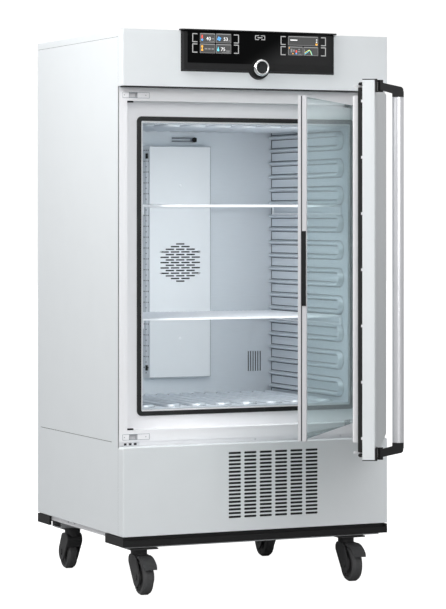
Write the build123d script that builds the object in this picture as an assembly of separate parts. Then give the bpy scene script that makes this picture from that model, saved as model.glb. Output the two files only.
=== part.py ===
from build123d import *
import math
import os

# Environmental test chamber on castors. Units are millimetres. X runs to the right, Y to the
# rear and Z up. The origin is on the floor under the middle of the cabinet.
# Depths such as frame_depth are counted backwards from the front face of the fascia.

# Cabinet
cabinet_width = 824.0
casing_bottom = 163.0
fascia_height = 157.0
lower_panel_height = 245.0
lid_height = 20.0
casing_sheet = 2.0
flange_width = 20.0
seam = 0.8
seat = 0.3
front_standout = 36.0
corner_radius = 6.0

# Groove in the side panel between the chamber and the machine room
side_groove_above_panel = 10.0
side_groove_height = 1.6
side_groove_depth = 1.2
side_groove_front_inset = 46.0
side_groove_rear_inset = 24.0

# Ventilation grille in the lower front panel
grille_columns = 6
grille_rows = 18
grille_column_pitch = 48.2
grille_row_pitch = 10.55
grille_slot_length = 39.4
grille_slot_height = 6.4
grille_centre_x = 48.0
grille_centre_height = 129.5

# Door frame round the chamber
frame_rim = 27.5
frame_sill_height = 31.0
frame_header_height = 39.5
frame_tie_height = 33.0
recess_below_chamber = 55.0
recess_above_chamber = 60.0
recess_depth = 42.0
channel_setback = 8.0
channel_height = 41.5
channel_gap = 13.5
strike_plate_inner = 49.0
strike_plate_outer = 32.0
strike_plate_height = 16.4
strike_pocket_width = 23.0
strike_pocket_height = 13.0
catch_length = 18.0
catch_depth = 12.0
glass_pivot_foot = (26.0, 8.0, 18.0)
gasket_width = 12.5
gasket_offset = 6.0
gasket_height = 4.0

# Chamber
chamber_side_wall = 92.0
chamber_height = 800.0
chamber_depth = 500.0
chamber_back_space = 92.0
liner_sheet = 1.5
rib_pitch = 40.0
rib_width = 13.0
side_rib_depth = 14.0
flat_rib_depth = 6.0
rib_taper = 18.0
side_rib_front_gap = 28.0
flat_rib_front_gap = 54.0
rib_rear_gap = 4.0
insulation_wall = 62.0
insulation_side_gap = 12.0

# Air duct cover, sensors and exhaust slots on the chamber's back wall
duct_width = 200.0
duct_flare = 11.0
duct_above_floor = 54.0
duct_below_ceiling = 50.0
duct_standout = 30.0
duct_sheet = 1.2
duct_slot_length = 29.0
duct_slot_height = 4.2
duct_slot_column_pitch = 34.2
duct_slot_row_pitch = 8.0
duct_slot_counts = (1, 2, 3, 4, 3, 4, 3, 4, 3, 4, 3, 4, 3, 2, 1)
exhaust_slots = 6
exhaust_slot_pitch = 8.1
exhaust_slot_width = 3.6
exhaust_slot_height = 62.0
exhaust_side_inset = 59.0
exhaust_above_floor = 95.5
sensor_bush_radius = 7.4
sensor_bush_length = 14.0
sensor_bush_tail = 8.0
sensor_x = 54.0
sensor_below_ceiling = 29.0
sensor_rod_radius = 2.0
sensor_rod_length = 82.0
sensor_rod_pitch = 9.5
sensor_rod_clearance = 6.0
sensor_rod_overrun = 10.0

# Circulation fan
chamber_fan_radius = 72.0
chamber_fan_depth = 17.0
chamber_fan_gap = 4.0
chamber_fan_blades = 12
chamber_fan_hub_radius = 16.0
fan_shaft_radius = 5.0
shaft_clearance = 0.05
fan_motor_radius = 42.0
fan_motor_length = 52.0

# Outer door, drawn closed and then turned open
door_side_inset = 6.0
door_above_recess = 30.3
door_below_frame = 1.9
door_shell = 33.0
door_proud = 9.7
door_seal_thickness = 11.6
door_seal_width = 16.0
door_seal_bottom_inset = 6.0
door_seal_free_inset = 8.0
door_seal_hinge_inset = 14.0
door_panel_side_gap = 8.5
door_panel_end_gap = 9.0
door_panel_depth = 26.0
door_edge_radius = 4.0
door_hinge_inset = 12.0
door_hinge_depth = 15.7
door_pin_radius = 5.0
door_pin_length = 14.0
door_hinge_block = 23.0
door_bracket_plate = 4.0
door_bracket_gap = 3.0
door_bracket_reach = (16.0, 10.0)
door_bracket_leg = 30.0
door_open_angle = 59.7

# Door handle
handle_mount_thickness = 5.0
handle_mount_height = 31.0
handle_mount_width = 30.0
handle_pivot_inset = 14.0
handle_pivot_height = 13.2
handle_knuckle_radius = 6.8
handle_pad_width = 12.0
handle_pin_radius = 3.0
handle_lug_top = 6.0
handle_lug_bottom = 2.6
handle_arm_width = 21.0
handle_tube_radius = 14.8
handle_tube_height = 58.3
handle_tube_inset = 20.0
handle_tube_wall = 1.6
handle_arm_drop = 43.4
handle_arm_slope_drop = 12.3
handle_arm_corner = 4.0
handle_socket_height = 8.9
latch_inset = 39.0
latch_finger_width = 7.0
latch_finger_height = 5.4
latch_finger_reach = 24.0
latch_from_end = 15.0
latch_window_half = 12.0
latch_spindle_radius = 5.0
latch_spindle_inset = 13.0

# Inner glass door, drawn closed and then turned open
glass_door_end_gap = 5.0
glass_door_edge_gap = 4.5
glass_thickness = 6.0
glass_profile_depth = 22.5
glass_profile_width = 12.0
glass_groove_inset = 8.1
glass_groove_width = 3.3
glass_groove_depth = 2.5
glass_hinge_inset = 10.5
glass_hinge_depth = 8.8
glass_pin_radius = 4.0
glass_pin_length = 16.0
glass_shoe_width = 34.0
glass_shoe_height = 40.0
glass_open_angle = 49.6
grip_length = 196.0
grip_width = 12.0
grip_thickness = 3.0

# Shelves
shelf_side_gap = 8.0
shelf_front_gap = 24.0
shelf_rim_radius = 3.0
shelf_wire_radius = 1.4
shelf_wire_pitch = 15.2
shelf_drop = 22.5
shelf_rib_numbers = (13, 5)

# Control cockpit
cockpit_width = 477.0
cockpit_height = 113.5
cockpit_depth = 11.5
cockpit_taper = 25.0
cockpit_glass_width = 445.0
cockpit_glass_height = 90.0
cockpit_glass_top_inset = 2.0
cockpit_glass_thickness = 1.2
visor_width = 486.0
visor_depth = 16.0
visor_thickness = 4.0
knob_below_top = 99.3
knob_radius = 24.0
knob_depth = 12.0
knob_face_radius = 16.5
knob_travel = 1.5
knob_gap = 2.1
knob_boss_radius = 31.0
knob_shaft_radius = 4.0
knob_shaft_length = 26.0

# Base and castors
tray_height = 14.0
tray_side_inset = 7.0
tray_sheet = 2.0
tray_front_inset = 20.3
tray_rear_inset = 6.3
tray_hole_pitch = 49.0
tray_hole_offset = 106.0
beam_height = 20.4
beam_width = 72.0
beam_wall = 2.5
beam_end_inset = 17.0
plinth_bottom = 134.0
plinth_bar_height = 18.0
plinth_block_height = 26.0
plinth_setback = 8.0
plinth_corner_length = 142.0
plinth_front_block_depth = 132.0
plinth_rear_block_depth = 98.0
plinth_wall = 6.7
swivel_left_inset = 67.0
swivel_right_inset = 110.0
swivel_front_depth = 47.0
swivel_rear_inset = 114.0
wheel_radius = 50.0
wheel_width = 32.0
wheel_side_gap = 3.0
castor_offset = 40.0
castor_fork_wall = 4.0
castor_neck_radius = 23.0
castor_neck_top = 124.7
castor_plate_thickness = 3.0
castor_plate_length = 95.0
castor_plate_width = 84.0
castor_axle_radius = 6.0
castor_hub_radius = 15.0
castor_yaw_front = -3.8
castor_yaw_rear = 176.2
pedal_width = 40.0
pedal_thickness = 5.0
pedal_pivot = (-34.0, 104.5)
pedal_tip = (-104.0, 76.0)
pedal_hub_radius = 3.2
pedal_pin_radius = 2.0

# Machine room
compressor_radius = 78.0
compressor_height = 165.0
compressor_side_inset = 242.0
compressor_rear_inset = 215.0
compressor_foot_height = 18.0
condenser_width = 300.0
condenser_height = 226.0
condenser_depth = 60.0
condenser_front_depth = 58.0
condenser_fins = 24
condenser_fin_thickness = 1.6
condenser_end_wall = 8.0
shroud_depth = 14.0
condenser_fan_radius = 96.0
condenser_fan_gap = 5.0
condenser_fan_blades = 5
condenser_fan_depth = 22.0
condenser_hub_radius = 28.0
condenser_blade_width = 52.0
condenser_motor_radius = 30.0
condenser_motor_length = 40.0
steam_tank_radius = 62.0
steam_tank_height = 170.0
steam_tank_side_inset = 162.0
steam_tank_rear_inset = 165.0
electronics_side_gap = 60.0
electronics_length = 280.0
electronics_height = 60.0
electronics_depth = 130.0
mains_inlet_size = (54.0, 22.0, 36.0)
mains_inlet_side_inset = 132.0
mains_inlet_height = 97.0
rear_louvre_rows = 7
rear_louvre_pitch = 18.0
rear_louvre_size = (240.0, 6.0)
rear_louvre_x = 60.0
rear_louvre_height = 47.0

# Values that follow from the ones above
half_width = cabinet_width / 2
cabinet_depth = front_standout + recess_depth + chamber_depth + chamber_back_space
front_y = -cabinet_depth / 2
rear_y = cabinet_depth / 2
lower_panel_top = casing_bottom + lower_panel_height
frame_bottom = lower_panel_top + channel_gap
recess_bottom = frame_bottom + frame_sill_height
chamber_bottom = recess_bottom + recess_below_chamber
chamber_top = chamber_bottom + chamber_height
chamber_mid_z = (chamber_bottom + chamber_top) / 2
recess_top = chamber_top + recess_above_chamber
fascia_bottom = recess_top + frame_header_height
cabinet_top = fascia_bottom + fascia_height
lid_bottom = cabinet_top - lid_height
frame_y = front_y + front_standout
collar_y = frame_y + recess_depth
frame_half = half_width - casing_sheet - seat
chamber_half = half_width - chamber_side_wall
chamber_back_y = collar_y + chamber_depth
recess_half = half_width - frame_rim
liner_outer_half = chamber_half + liner_sheet
door_bottom = frame_bottom - door_below_frame
door_top = recess_top + door_above_recess
door_half = half_width - door_side_inset
door_front_y = front_y - door_proud
door_back_y = door_front_y + door_shell
door_hinge = (door_half - door_hinge_inset, door_front_y + door_hinge_depth)
glass_inner_y = collar_y - gasket_height - seat
glass_outer_y = glass_inner_y - glass_profile_depth
glass_half = recess_half - glass_door_edge_gap
glass_bottom = recess_bottom + glass_door_end_gap
glass_top = recess_top - glass_door_end_gap
glass_hinge = (recess_half - glass_hinge_inset, glass_outer_y + glass_hinge_depth)
tray_bottom = casing_bottom - tray_height
machine_floor = tray_bottom + tray_sheet + seat
beam_bottom = tray_bottom - seat - beam_height
castor_plate_bottom = beam_bottom - seat - castor_plate_thickness
side_loop_count = int(chamber_height // (2 * rib_pitch))
flat_loop_count = int(2 * chamber_half // (2 * rib_pitch))
knob_z = cabinet_top - knob_below_top
knob_back_y = front_y - cockpit_depth - cockpit_glass_thickness / 3 - knob_gap - knob_travel
condenser_centre_x = grille_centre_x
sensor_z = chamber_top - sensor_below_ceiling


def block(x, y, z):
    """A box from its (low, high) pairs along X, Y and Z."""
    size = [high - low for low, high in (x, y, z)]
    centre = [(high + low) / 2 for low, high in (x, y, z)]
    return Pos(*centre) * Box(*size)


def rod(start, end, radius):
    """A round bar from one point to another."""
    line = Vector(*end) - Vector(*start)
    plane = Plane(origin=start, z_dir=line.normalized())
    return extrude(plane * Circle(radius), amount=line.length)


def joined(pieces):
    """One shape made of pieces that touch or overlap."""
    whole = pieces[0]
    for piece in pieces[1:]:
        whole = whole + piece
    return whole


def tray(x, y, z, wall, open_side):
    """A folded sheet box that is open on one side: one of -y, +y, -z, +z."""
    inner = [[x[0] + wall, x[1] - wall], [y[0] + wall, y[1] - wall], [z[0] + wall, z[1] - wall]]
    axis = 1 if open_side[1] == "y" else 2
    end = 1 if open_side[0] == "+" else 0
    inner[axis][end] += wall * (2 if end else -2)
    return block(x, y, z) - block(*inner)


def slot_outline(length, height):
    """A long slot whose ends are cut to a half hexagon."""
    half, end, rise = length / 2, height * 0.29, height / 2
    points = [(-half, 0), (-half + end, rise), (half - end, rise), (half, 0), (half - end, -rise), (-half + end, -rise)]
    return make_face(Polyline(*points, close=True))


def write(name, shape):
    export_step(shape, f"parts/{name}.step")


# Cabinet casing

def side_panel(side):
    """Side sheet with top, bottom and rear flanges and the shallow groove below the chamber."""
    front, rear = frame_y + seam, rear_y
    outer, inner, lip = half_width, half_width - casing_sheet, half_width - flange_width
    top = lid_bottom - seam
    sheet = block((inner, outer), (front, rear), (casing_bottom, top))
    top_flange = block((lip, outer), (collar_y + 10, rear - 5), (top - casing_sheet, top))
    bottom_flange = block((lip, outer), (collar_y + 10, rear - 5), (casing_bottom, casing_bottom + casing_sheet))
    rear_flange_y = rear - casing_sheet - seat
    rear_flange = block((lip, outer), (rear_flange_y - casing_sheet, rear_flange_y), (casing_bottom, top))
    groove_z = lower_panel_top + side_groove_above_panel
    groove = block(
        (outer - side_groove_depth, outer + 1),
        (frame_y + side_groove_front_inset, rear - side_groove_rear_inset),
        (groove_z, groove_z + side_groove_height),
    )
    panel = joined([sheet, top_flange, bottom_flange, rear_flange]) - groove
    return panel if side == "right" else mirror(panel, about=Plane.YZ)


def top_cover():
    x, y = (-half_width, half_width), (frame_y + seam, rear_y)
    cover = block(x, y, (lid_bottom, cabinet_top))
    cover = fillet(cover.edges().filter_by(Axis.Y).group_by(Axis.Z)[-1], 2.5)
    hollow = block(
        (x[0] + casing_sheet, x[1] - casing_sheet),
        (y[0] + casing_sheet, y[1] - casing_sheet),
        (lid_bottom - 1, cabinet_top - casing_sheet),
    )
    return cover - hollow


def rear_panel():
    """Back sheet between the side panels, with louvre slots for the machine room."""
    panel = block((-frame_half, frame_half), (rear_y - casing_sheet, rear_y), (casing_bottom, lid_bottom - seam))
    louvre = Plane.XZ * slot_outline(*rear_louvre_size)
    for row in range(rear_louvre_rows):
        z = casing_bottom + rear_louvre_height + row * rear_louvre_pitch
        panel -= Pos(rear_louvre_x, rear_y - casing_sheet / 2, z) * extrude(louvre, amount=casing_sheet, both=True)
    x, z = mains_inlet_place()
    panel -= block(
        (x - mains_inlet_size[0] / 2, x + mains_inlet_size[0] / 2),
        (rear_y - 5, rear_y + 5),
        (z - mains_inlet_size[2] / 2, z + mains_inlet_size[2] / 2),
    )
    return panel


def front_tray(bottom, top, round_edges):
    """A front cover with returns on all four sides, open at the back."""
    x, y = (-half_width, half_width), (front_y, frame_y - seat)
    cover = block(x, y, (bottom, top))
    if round_edges:
        cover = fillet(cover.edges().filter_by(Axis.Y).group_by(Axis.Z)[-1], corner_radius)
    cover = fillet(cover.edges().filter_by(Axis.Z).group_by(Axis.Y)[0], 1.5)
    hollow = block(
        (x[0] + casing_sheet, x[1] - casing_sheet),
        (y[0] + casing_sheet, y[1] + 1),
        (bottom + casing_sheet, top - casing_sheet),
    )
    if round_edges:
        hollow = fillet(hollow.edges().filter_by(Axis.Y).group_by(Axis.Z)[-1], corner_radius - casing_sheet)
    return cover - hollow


def lower_front_panel():
    """Machine room cover with its ventilation grille."""
    panel = front_tray(casing_bottom, lower_panel_top, True)
    x = (-half_width + 3 * corner_radius, half_width - 3 * corner_radius)
    shelf = block(x, (frame_y - 1, frame_y + channel_setback - seat), (lower_panel_top - casing_sheet, lower_panel_top))
    slot = extrude(Plane.XZ * slot_outline(grille_slot_length, grille_slot_height), amount=casing_sheet, both=True)
    slots = []
    for column in range(grille_columns):
        for row in range(grille_rows):
            x = grille_centre_x + (column - (grille_columns - 1) / 2) * grille_column_pitch
            z = casing_bottom + grille_centre_height + (row - (grille_rows - 1) / 2) * grille_row_pitch
            slots.append(Pos(x, front_y + casing_sheet / 2, z) * slot)
    return (panel + shelf).cut(*slots)


def control_fascia():
    """Upper front cover; a hole lets the knob's shaft through."""
    fascia = front_tray(fascia_bottom, cabinet_top, False)
    hole = Plane((0, front_y - 1, knob_z), z_dir=(0, 1, 0)) * Circle(knob_shaft_radius + 4)
    return fascia - extrude(hole, amount=casing_sheet + 2)


# Door frame, split like its four folded members

def door_frame():
    """Stepped frame: rim, recess for the glass door, and a collar that carries the liner."""
    frame_top = fascia_bottom + frame_tie_height
    low = frame_bottom - channel_height
    back = collar_y + casing_sheet
    whole = block((-frame_half, frame_half), (frame_y, back), (low, frame_top))
    whole -= block((-recess_half, recess_half), (frame_y - 1, collar_y), (recess_bottom, recess_top))
    opening = chamber_half + liner_sheet + seat
    whole -= block(
        (-opening, opening), (collar_y - 1, back + 1),
        (chamber_bottom - liner_sheet - seat, chamber_top + liner_sheet + seat),
    )
    whole -= block((-frame_half - 1, frame_half + 1), (frame_y - 1, frame_y + channel_setback), (low - 1, frame_bottom))
    inside = (frame_y + casing_sheet, back + 1)
    wall = casing_sheet
    for side in (-1, 1):
        x = sorted((side * (recess_half + wall), side * (frame_half - wall)))
        whole -= block(x, inside, (frame_bottom + wall, frame_top - wall))
    across = (-recess_half - wall - 1, recess_half + wall + 1)
    whole -= block(across, inside, (recess_top + wall, frame_top - wall))
    whole -= block(across, inside, (frame_bottom + wall, recess_bottom - wall))
    full = (-frame_half + wall, frame_half - wall)
    whole -= block(full, (frame_y + channel_setback + wall, back + 1), (low + wall, frame_bottom - 1))
    for z in (door_top - latch_from_end, door_bottom + latch_from_end):
        x = -door_half + latch_inset
        half_w, half_h = (strike_pocket_width + 1) / 2, (strike_pocket_height + 1) / 2
        whole -= block((x - half_w, x + half_w), (frame_y - 1, frame_y + wall + 1), (z - half_h, z + half_h))
    return whole


def frame_members():
    """Left post, right post, header and sill of the door frame."""
    whole = door_frame()
    cut = chamber_half + liner_sheet + seat + 1
    z = (0, cabinet_top)
    y = (front_y, rear_y)
    mid = (recess_bottom + recess_top) / 2
    return {
        "frame_left_post": whole & block((-half_width, -cut), y, z),
        "frame_right_post": whole & block((cut, half_width), y, z),
        "frame_header": whole & block((-cut, cut), y, (mid, cabinet_top)),
        "frame_sill": whole & block((-cut, cut), y, (0, mid)),
    }


def chamber_gasket():
    """Soft ring on the collar that the glass door closes against."""
    inner_w, inner_h = 2 * chamber_half + 2 * gasket_offset, chamber_height + 2 * gasket_offset
    outer = RectangleRounded(inner_w + 2 * gasket_width, inner_h + 2 * gasket_width, 14)
    ring = outer - RectangleRounded(inner_w, inner_h, 4)
    plane = Plane((0, collar_y, chamber_mid_z), x_dir=(1, 0, 0), z_dir=(0, -1, 0))
    return extrude(plane * ring, amount=gasket_height)


def strike_plates():
    """Thin plates on the rim with the pockets that the latch fingers enter."""
    thickness = frame_y - door_back_y - door_seal_thickness - seat
    plates = []
    for z in (door_top - latch_from_end, door_bottom + latch_from_end):
        x = -door_half + latch_inset
        half_w, half_h = strike_pocket_width / 2, strike_pocket_height / 2
        plate_z = (z - strike_plate_height / 2, z + strike_plate_height / 2)
        plate = block((x - strike_plate_outer, x + strike_plate_inner), (frame_y - thickness, frame_y), plate_z)
        plates.append(plate - block((x - half_w, x + half_w), (frame_y - 3, frame_y + 1), (z - half_h, z + half_h)))
    return Compound(plates)


def recess_fittings():
    """Glass door pivots at the hinge side and wedge catches at the closing side."""
    x, y = glass_hinge
    inward, outward, depth = glass_pivot_foot
    pieces = []
    for sign, end, wall in ((1, glass_top, recess_top), (-1, glass_bottom, recess_bottom)):
        z = sorted((end + sign * 1.0, wall - sign * seat))
        foot = block((x - inward, x + outward), (y - depth / 2, y + depth / 2), z)
        pin = rod((x, y, end + sign * 1.0), (x, y, end - sign * glass_pin_length), glass_pin_radius)
        pieces.append(foot + pin)
        catch_x = -glass_half + 4
        z = sorted((end + sign * 0.6, wall - sign * seat))
        catch = block((catch_x, catch_x + catch_length), (glass_outer_y, glass_outer_y + catch_depth), z)
        pieces.append(chamfer(catch.edges().filter_by(Axis.Z).group_by(Axis.Y)[0], 4))
    return Compound(pieces)


# Chamber liner: five welded sheets with pressed U-shaped ribs

def rib_loop(length, depth):
    """One pressed rib that runs out, turns back on itself and returns; open end at the origin.

    It lies in the XY plane, runs along +X and rises along +Z."""
    outer_r = (rib_pitch + rib_width) / 2
    inner_r = (rib_pitch - rib_width) / 2
    reach = length - outer_r
    outer = Pos(reach / 2, 0) * Rectangle(reach, 2 * outer_r) + Pos(reach, 0) * Circle(outer_r)
    inner = Pos(reach / 2 - 1, 0) * Rectangle(reach + 2, 2 * inner_r) + Pos(reach, 0) * Circle(inner_r)
    loop = extrude(outer - inner, amount=depth, taper=rib_taper)
    return loop


def side_wall_loops():
    """Ten loops, one above the other, drawn on the right wall and facing the chamber."""
    length = chamber_depth - side_rib_front_gap - rib_rear_gap
    loop = rib_loop(length, side_rib_depth)
    loops = []
    for number in range(side_loop_count):
        z = chamber_mid_z + (number - (side_loop_count - 1) / 2) * 2 * rib_pitch
        plane = Plane((chamber_half, chamber_back_y - rib_rear_gap, z), x_dir=(0, -1, 0), z_dir=(-1, 0, 0))
        loops.append(plane * loop)
    return loops


def liner_side_wall(side):
    """Side sheet with the loops that carry the shelves."""
    z = (chamber_bottom - liner_sheet, chamber_top + liner_sheet)
    wall = block((chamber_half, liner_outer_half), (collar_y, chamber_back_y + liner_sheet), z)
    wall = wall.fuse(*side_wall_loops())
    return wall if side == "right" else mirror(wall, about=Plane.YZ)


def liner_floor():
    """Floor sheet with loops that open to the rear."""
    sheet = block((-chamber_half, chamber_half), (collar_y, chamber_back_y + liner_sheet),
                  (chamber_bottom - liner_sheet, chamber_bottom))
    loop = rib_loop(chamber_depth - flat_rib_front_gap - rib_rear_gap, flat_rib_depth)
    loops = []
    for number in range(flat_loop_count):
        x = (number - (flat_loop_count - 1) / 2) * 2 * rib_pitch
        plane = Plane((x, chamber_back_y - rib_rear_gap, chamber_bottom), x_dir=(0, -1, 0), z_dir=(0, 0, 1))
        loops.append(plane * loop)
    return sheet.fuse(*loops)


def liner_back_wall():
    """Rear sheet with the exhaust slots and holes for the fan shaft and the sensor bush."""
    wall = block((-chamber_half, chamber_half), (chamber_back_y, chamber_back_y + liner_sheet),
                 (chamber_bottom, chamber_top))
    slot = Plane.XZ * Rot(0, 0, 90) * slot_outline(exhaust_slot_height, exhaust_slot_width)
    cut = extrude(slot, amount=2 * liner_sheet, both=True)
    for number in range(exhaust_slots):
        x = chamber_half - exhaust_side_inset + (number - (exhaust_slots - 1) / 2) * exhaust_slot_pitch
        wall -= Pos(x, chamber_back_y, chamber_bottom + exhaust_above_floor) * cut
    reach = (chamber_back_y - 1, chamber_back_y + liner_sheet + 1)
    for x, z, radius in ((0, chamber_mid_z, fan_shaft_radius + 3), (sensor_x, sensor_z, sensor_bush_radius + seat)):
        wall -= rod((x, reach[0], z), (x, reach[1], z), radius)
    return wall


def insulation_jacket():
    """Foam round the liner, with a pocket for the fan motor and a hole for the sensor bush."""
    gap = seat
    front, back = collar_y + casing_sheet + gap, chamber_back_y + insulation_wall
    side = half_width - insulation_side_gap
    outer = block((-side, side), (front, back), (chamber_bottom - insulation_wall, chamber_top + insulation_wall))
    hollow = block(
        (-liner_outer_half - gap, liner_outer_half + gap),
        (front - 1, chamber_back_y + liner_sheet + gap),
        (chamber_bottom - liner_sheet - gap, chamber_top + liner_sheet + gap),
    )
    pocket = rod((0, chamber_back_y, chamber_mid_z), (0, back + 1, chamber_mid_z), fan_motor_radius + 2)
    cable_way = rod((sensor_x, chamber_back_y, sensor_z), (sensor_x, back + 1, sensor_z), sensor_bush_radius + gap)
    return outer - hollow - pocket - cable_way


def air_duct_cover():
    """Flared sheet cover with a round field of slots in front of the fan."""
    front = chamber_back_y - duct_standout
    back = chamber_back_y - seat

    def prism(inset, start, z):
        half, foot = duct_width / 2 - inset, duct_width / 2 + duct_flare - inset
        points = [(-foot, back + (1 if inset else 0)), (-half, start), (half, start), (foot, back + (1 if inset else 0))]
        outline = Pos(0, 0, z[0]) * make_face(Polyline(*points, close=True))
        return extrude(outline, amount=z[1] - z[0], dir=(0, 0, 1))

    z = (chamber_bottom + duct_above_floor, chamber_top - duct_below_ceiling)
    cover = prism(0, front, z) - prism(duct_sheet, front + duct_sheet, (z[0] + duct_sheet, z[1] - duct_sheet))
    slot = extrude(Plane.XZ * slot_outline(duct_slot_length, duct_slot_height), amount=2 * duct_sheet, both=True)
    slots = []
    for row, count in enumerate(duct_slot_counts):
        z = chamber_mid_z + ((len(duct_slot_counts) - 1) / 2 - row) * duct_slot_row_pitch
        for number in range(count):
            x = (number - (count - 1) / 2) * duct_slot_column_pitch
            slots.append(Pos(x, front, z) * slot)
    return cover.cut(*slots)


def sensor_probes():
    """Two temperature probes that bend sideways out of a common bush."""
    y = chamber_back_y - sensor_rod_clearance - sensor_rod_radius
    bush = rod((sensor_x, chamber_back_y - sensor_bush_length + 1, sensor_z),
               (sensor_x, chamber_back_y + liner_sheet + sensor_bush_tail, sensor_z), sensor_bush_radius)
    rods = []
    for sign in (-1, 1):
        z = sensor_z + sign * sensor_rod_pitch / 2
        end = sensor_x + sensor_rod_overrun
        rods.append(rod((end, y, z), (end - sensor_rod_length, y, z), sensor_rod_radius))
    return joined([bush] + rods)


# Circulation fan

def chamber_fan():
    """Radial wheel: back disc, hub, blades and shaft, turning about the Y axis."""
    back = chamber_back_y - chamber_fan_gap
    front = back - chamber_fan_depth
    z = chamber_mid_z
    disc = rod((0, back - 1.5, z), (0, back, z), chamber_fan_radius)
    hub = rod((0, front + 4, z), (0, back, z), chamber_fan_hub_radius)
    shaft = rod((0, back, z), (0, back + chamber_fan_gap + liner_sheet + 30, z), fan_shaft_radius)
    blade = block((30, chamber_fan_radius - 2), (front, back - 1), (z - 0.8, z + 0.8))
    blade = blade.rotate(Axis((51, 0, z), (0, 1, 0)), 25)
    axis = Axis((0, 0, z), (0, 1, 0))
    blades = [blade.rotate(axis, 360 * n / chamber_fan_blades) for n in range(chamber_fan_blades)]
    return disc.fuse(hub, shaft, *blades)


def fan_motor():
    """Motor can behind the chamber wall; its bore holds the fan shaft."""
    start = chamber_back_y + liner_sheet + seat
    z = chamber_mid_z
    flange = rod((0, start, z), (0, start + 3, z), fan_motor_radius)
    can = rod((0, start + 3, z), (0, start + fan_motor_length, z), fan_motor_radius - 6)
    cap = rod((0, start + fan_motor_length, z), (0, start + fan_motor_length + 5, z), 14)
    bore = rod((0, start - 1, z), (0, start + 38, z), fan_shaft_radius + shaft_clearance)
    return joined([flange, can, cap]) - bore


# Outer door

def open_door(shape):
    return shape.rotate(Axis((*door_hinge, 0), (0, 0, 1)), door_open_angle)


def door_skin():
    """Outer door shell with a hinge block at each end of the hinge edge."""
    shell = block((-door_half, door_half), (door_front_y, door_back_y), (door_bottom, door_top))
    shell = fillet(shell.edges().filter_by(Axis.Z).group_by(Axis.Y)[0], door_edge_radius)
    wall = casing_sheet
    shell -= block(
        (-door_half + wall, door_half - wall), (door_front_y + wall, door_back_y + 1),
        (door_bottom + wall, door_top - wall),
    )
    x, y = door_hinge
    hinge_x = (door_half - door_hinge_block, door_half - wall + 0.5)
    hinge_y = (door_front_y + wall - 0.5, door_back_y - wall - seat)
    for end, inward in ((door_top, -1), (door_bottom, 1)):
        z = sorted((end + inward * (wall - 0.5), end + inward * (door_pin_length + 4)))
        shell += block(hinge_x, hinge_y, z)
        shell -= rod((x, y, end - inward), (x, y, end + inward * (door_pin_length + 1)), door_pin_radius + shaft_clearance)
    return shell


def latch_window(start, z_extra, y):
    """The two cut-outs that the latch fingers reach through."""
    windows = []
    end = -door_half + latch_inset + latch_window_half
    for z in (door_top - latch_from_end, door_bottom + latch_from_end):
        half = latch_finger_height / 2 + z_extra
        windows.append(block((start, end), y, (z - half, z + half)))
    return windows


def door_inner_panel():
    """Backing sheet with the raised pan that fills the recess."""
    wall = casing_sheet
    plate = block(
        (-door_half + wall + seat, door_half - wall - seat), (door_back_y - wall, door_back_y),
        (door_bottom + wall + seat, door_top - wall - seat),
    )
    x = (-recess_half + door_panel_side_gap, recess_half - door_panel_side_gap)
    z = (recess_bottom + door_panel_end_gap, recess_top - door_panel_end_gap)
    pan = block(x, (door_back_y - wall, door_back_y + door_panel_depth), z)
    pan = fillet(pan.edges().group_by(Axis.Y)[-1], 3)
    hollow = block(
        (x[0] + wall, x[1] - wall), (door_back_y - wall - 1, door_back_y + door_panel_depth - wall),
        (z[0] + wall, z[1] - wall),
    )
    panel = plate + pan - hollow
    start = -door_half + latch_inset - latch_window_half
    for window in latch_window(start, 3.5, (door_back_y - wall - 1, door_back_y + 1)):
        panel -= window
    return panel


def door_seal():
    """Dark closing strip round the back of the shell."""
    x = (-door_half + door_seal_free_inset, door_half - door_seal_hinge_inset)
    z = (door_bottom + door_seal_bottom_inset, door_top - door_seal_bottom_inset)
    y = (door_back_y, door_back_y + door_seal_thickness)
    ring = block(x, y, z)
    ring = chamfer(ring.edges().filter_by(Axis.X).group_by(Axis.Y)[-1], 4)
    width = door_seal_width
    ring -= block((x[0] + width, x[1] - width), (y[0] - 1, y[1] + 1), (z[0] + width, z[1] - width))
    for window in latch_window(x[0] - 1, 1.5, (y[0] - 1, y[1] + 1)):
        ring -= window
    return ring


def handle_pivot():
    return -door_half + handle_pivot_inset, door_front_y - handle_pivot_height


def handle_ends():
    """Low and high z of the top and bottom handle mounts, with +1 for the top one."""
    return (
        (door_top - handle_mount_height, door_top, 1),
        (door_bottom, door_bottom + handle_mount_height, -1),
    )


def handle_knuckle_z(low, high, sign):
    """The stretch of a mount between its two lugs, where the arm turns."""
    if sign > 0:
        return low + handle_lug_bottom + seat, high - handle_lug_top - seat
    return low + handle_lug_top + seat, high - handle_lug_bottom - seat


def handle_mounts():
    """Plates at the door's closing edge, each with two lugs and a pivot pin."""
    px, py = handle_pivot()
    mounts = []
    for low, high, sign in handle_ends():
        x = (-door_half, -door_half + handle_mount_width)
        plate = block(x, (door_front_y - handle_mount_thickness, door_front_y), (low, high))
        start, end = handle_knuckle_z(low, high, sign)
        pad_y = py + handle_knuckle_radius + 2 * seat
        pad = block((px - handle_pad_width / 2, px + handle_pad_width / 2), (pad_y, door_front_y - 1), (low, high))
        pieces = [plate, pad]
        for z in ((low, start - seat), (end + seat, high)):
            web = block((px - 3, px + 3), (py, door_front_y - handle_mount_thickness + 1), z)
            pieces += [web, rod((px, py, z[0]), (px, py, z[1]), handle_knuckle_radius)]
        pieces.append(rod((px, py, low), (px, py, high), handle_pin_radius))
        mounts.append(joined(pieces))
    return Compound(mounts)


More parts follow.
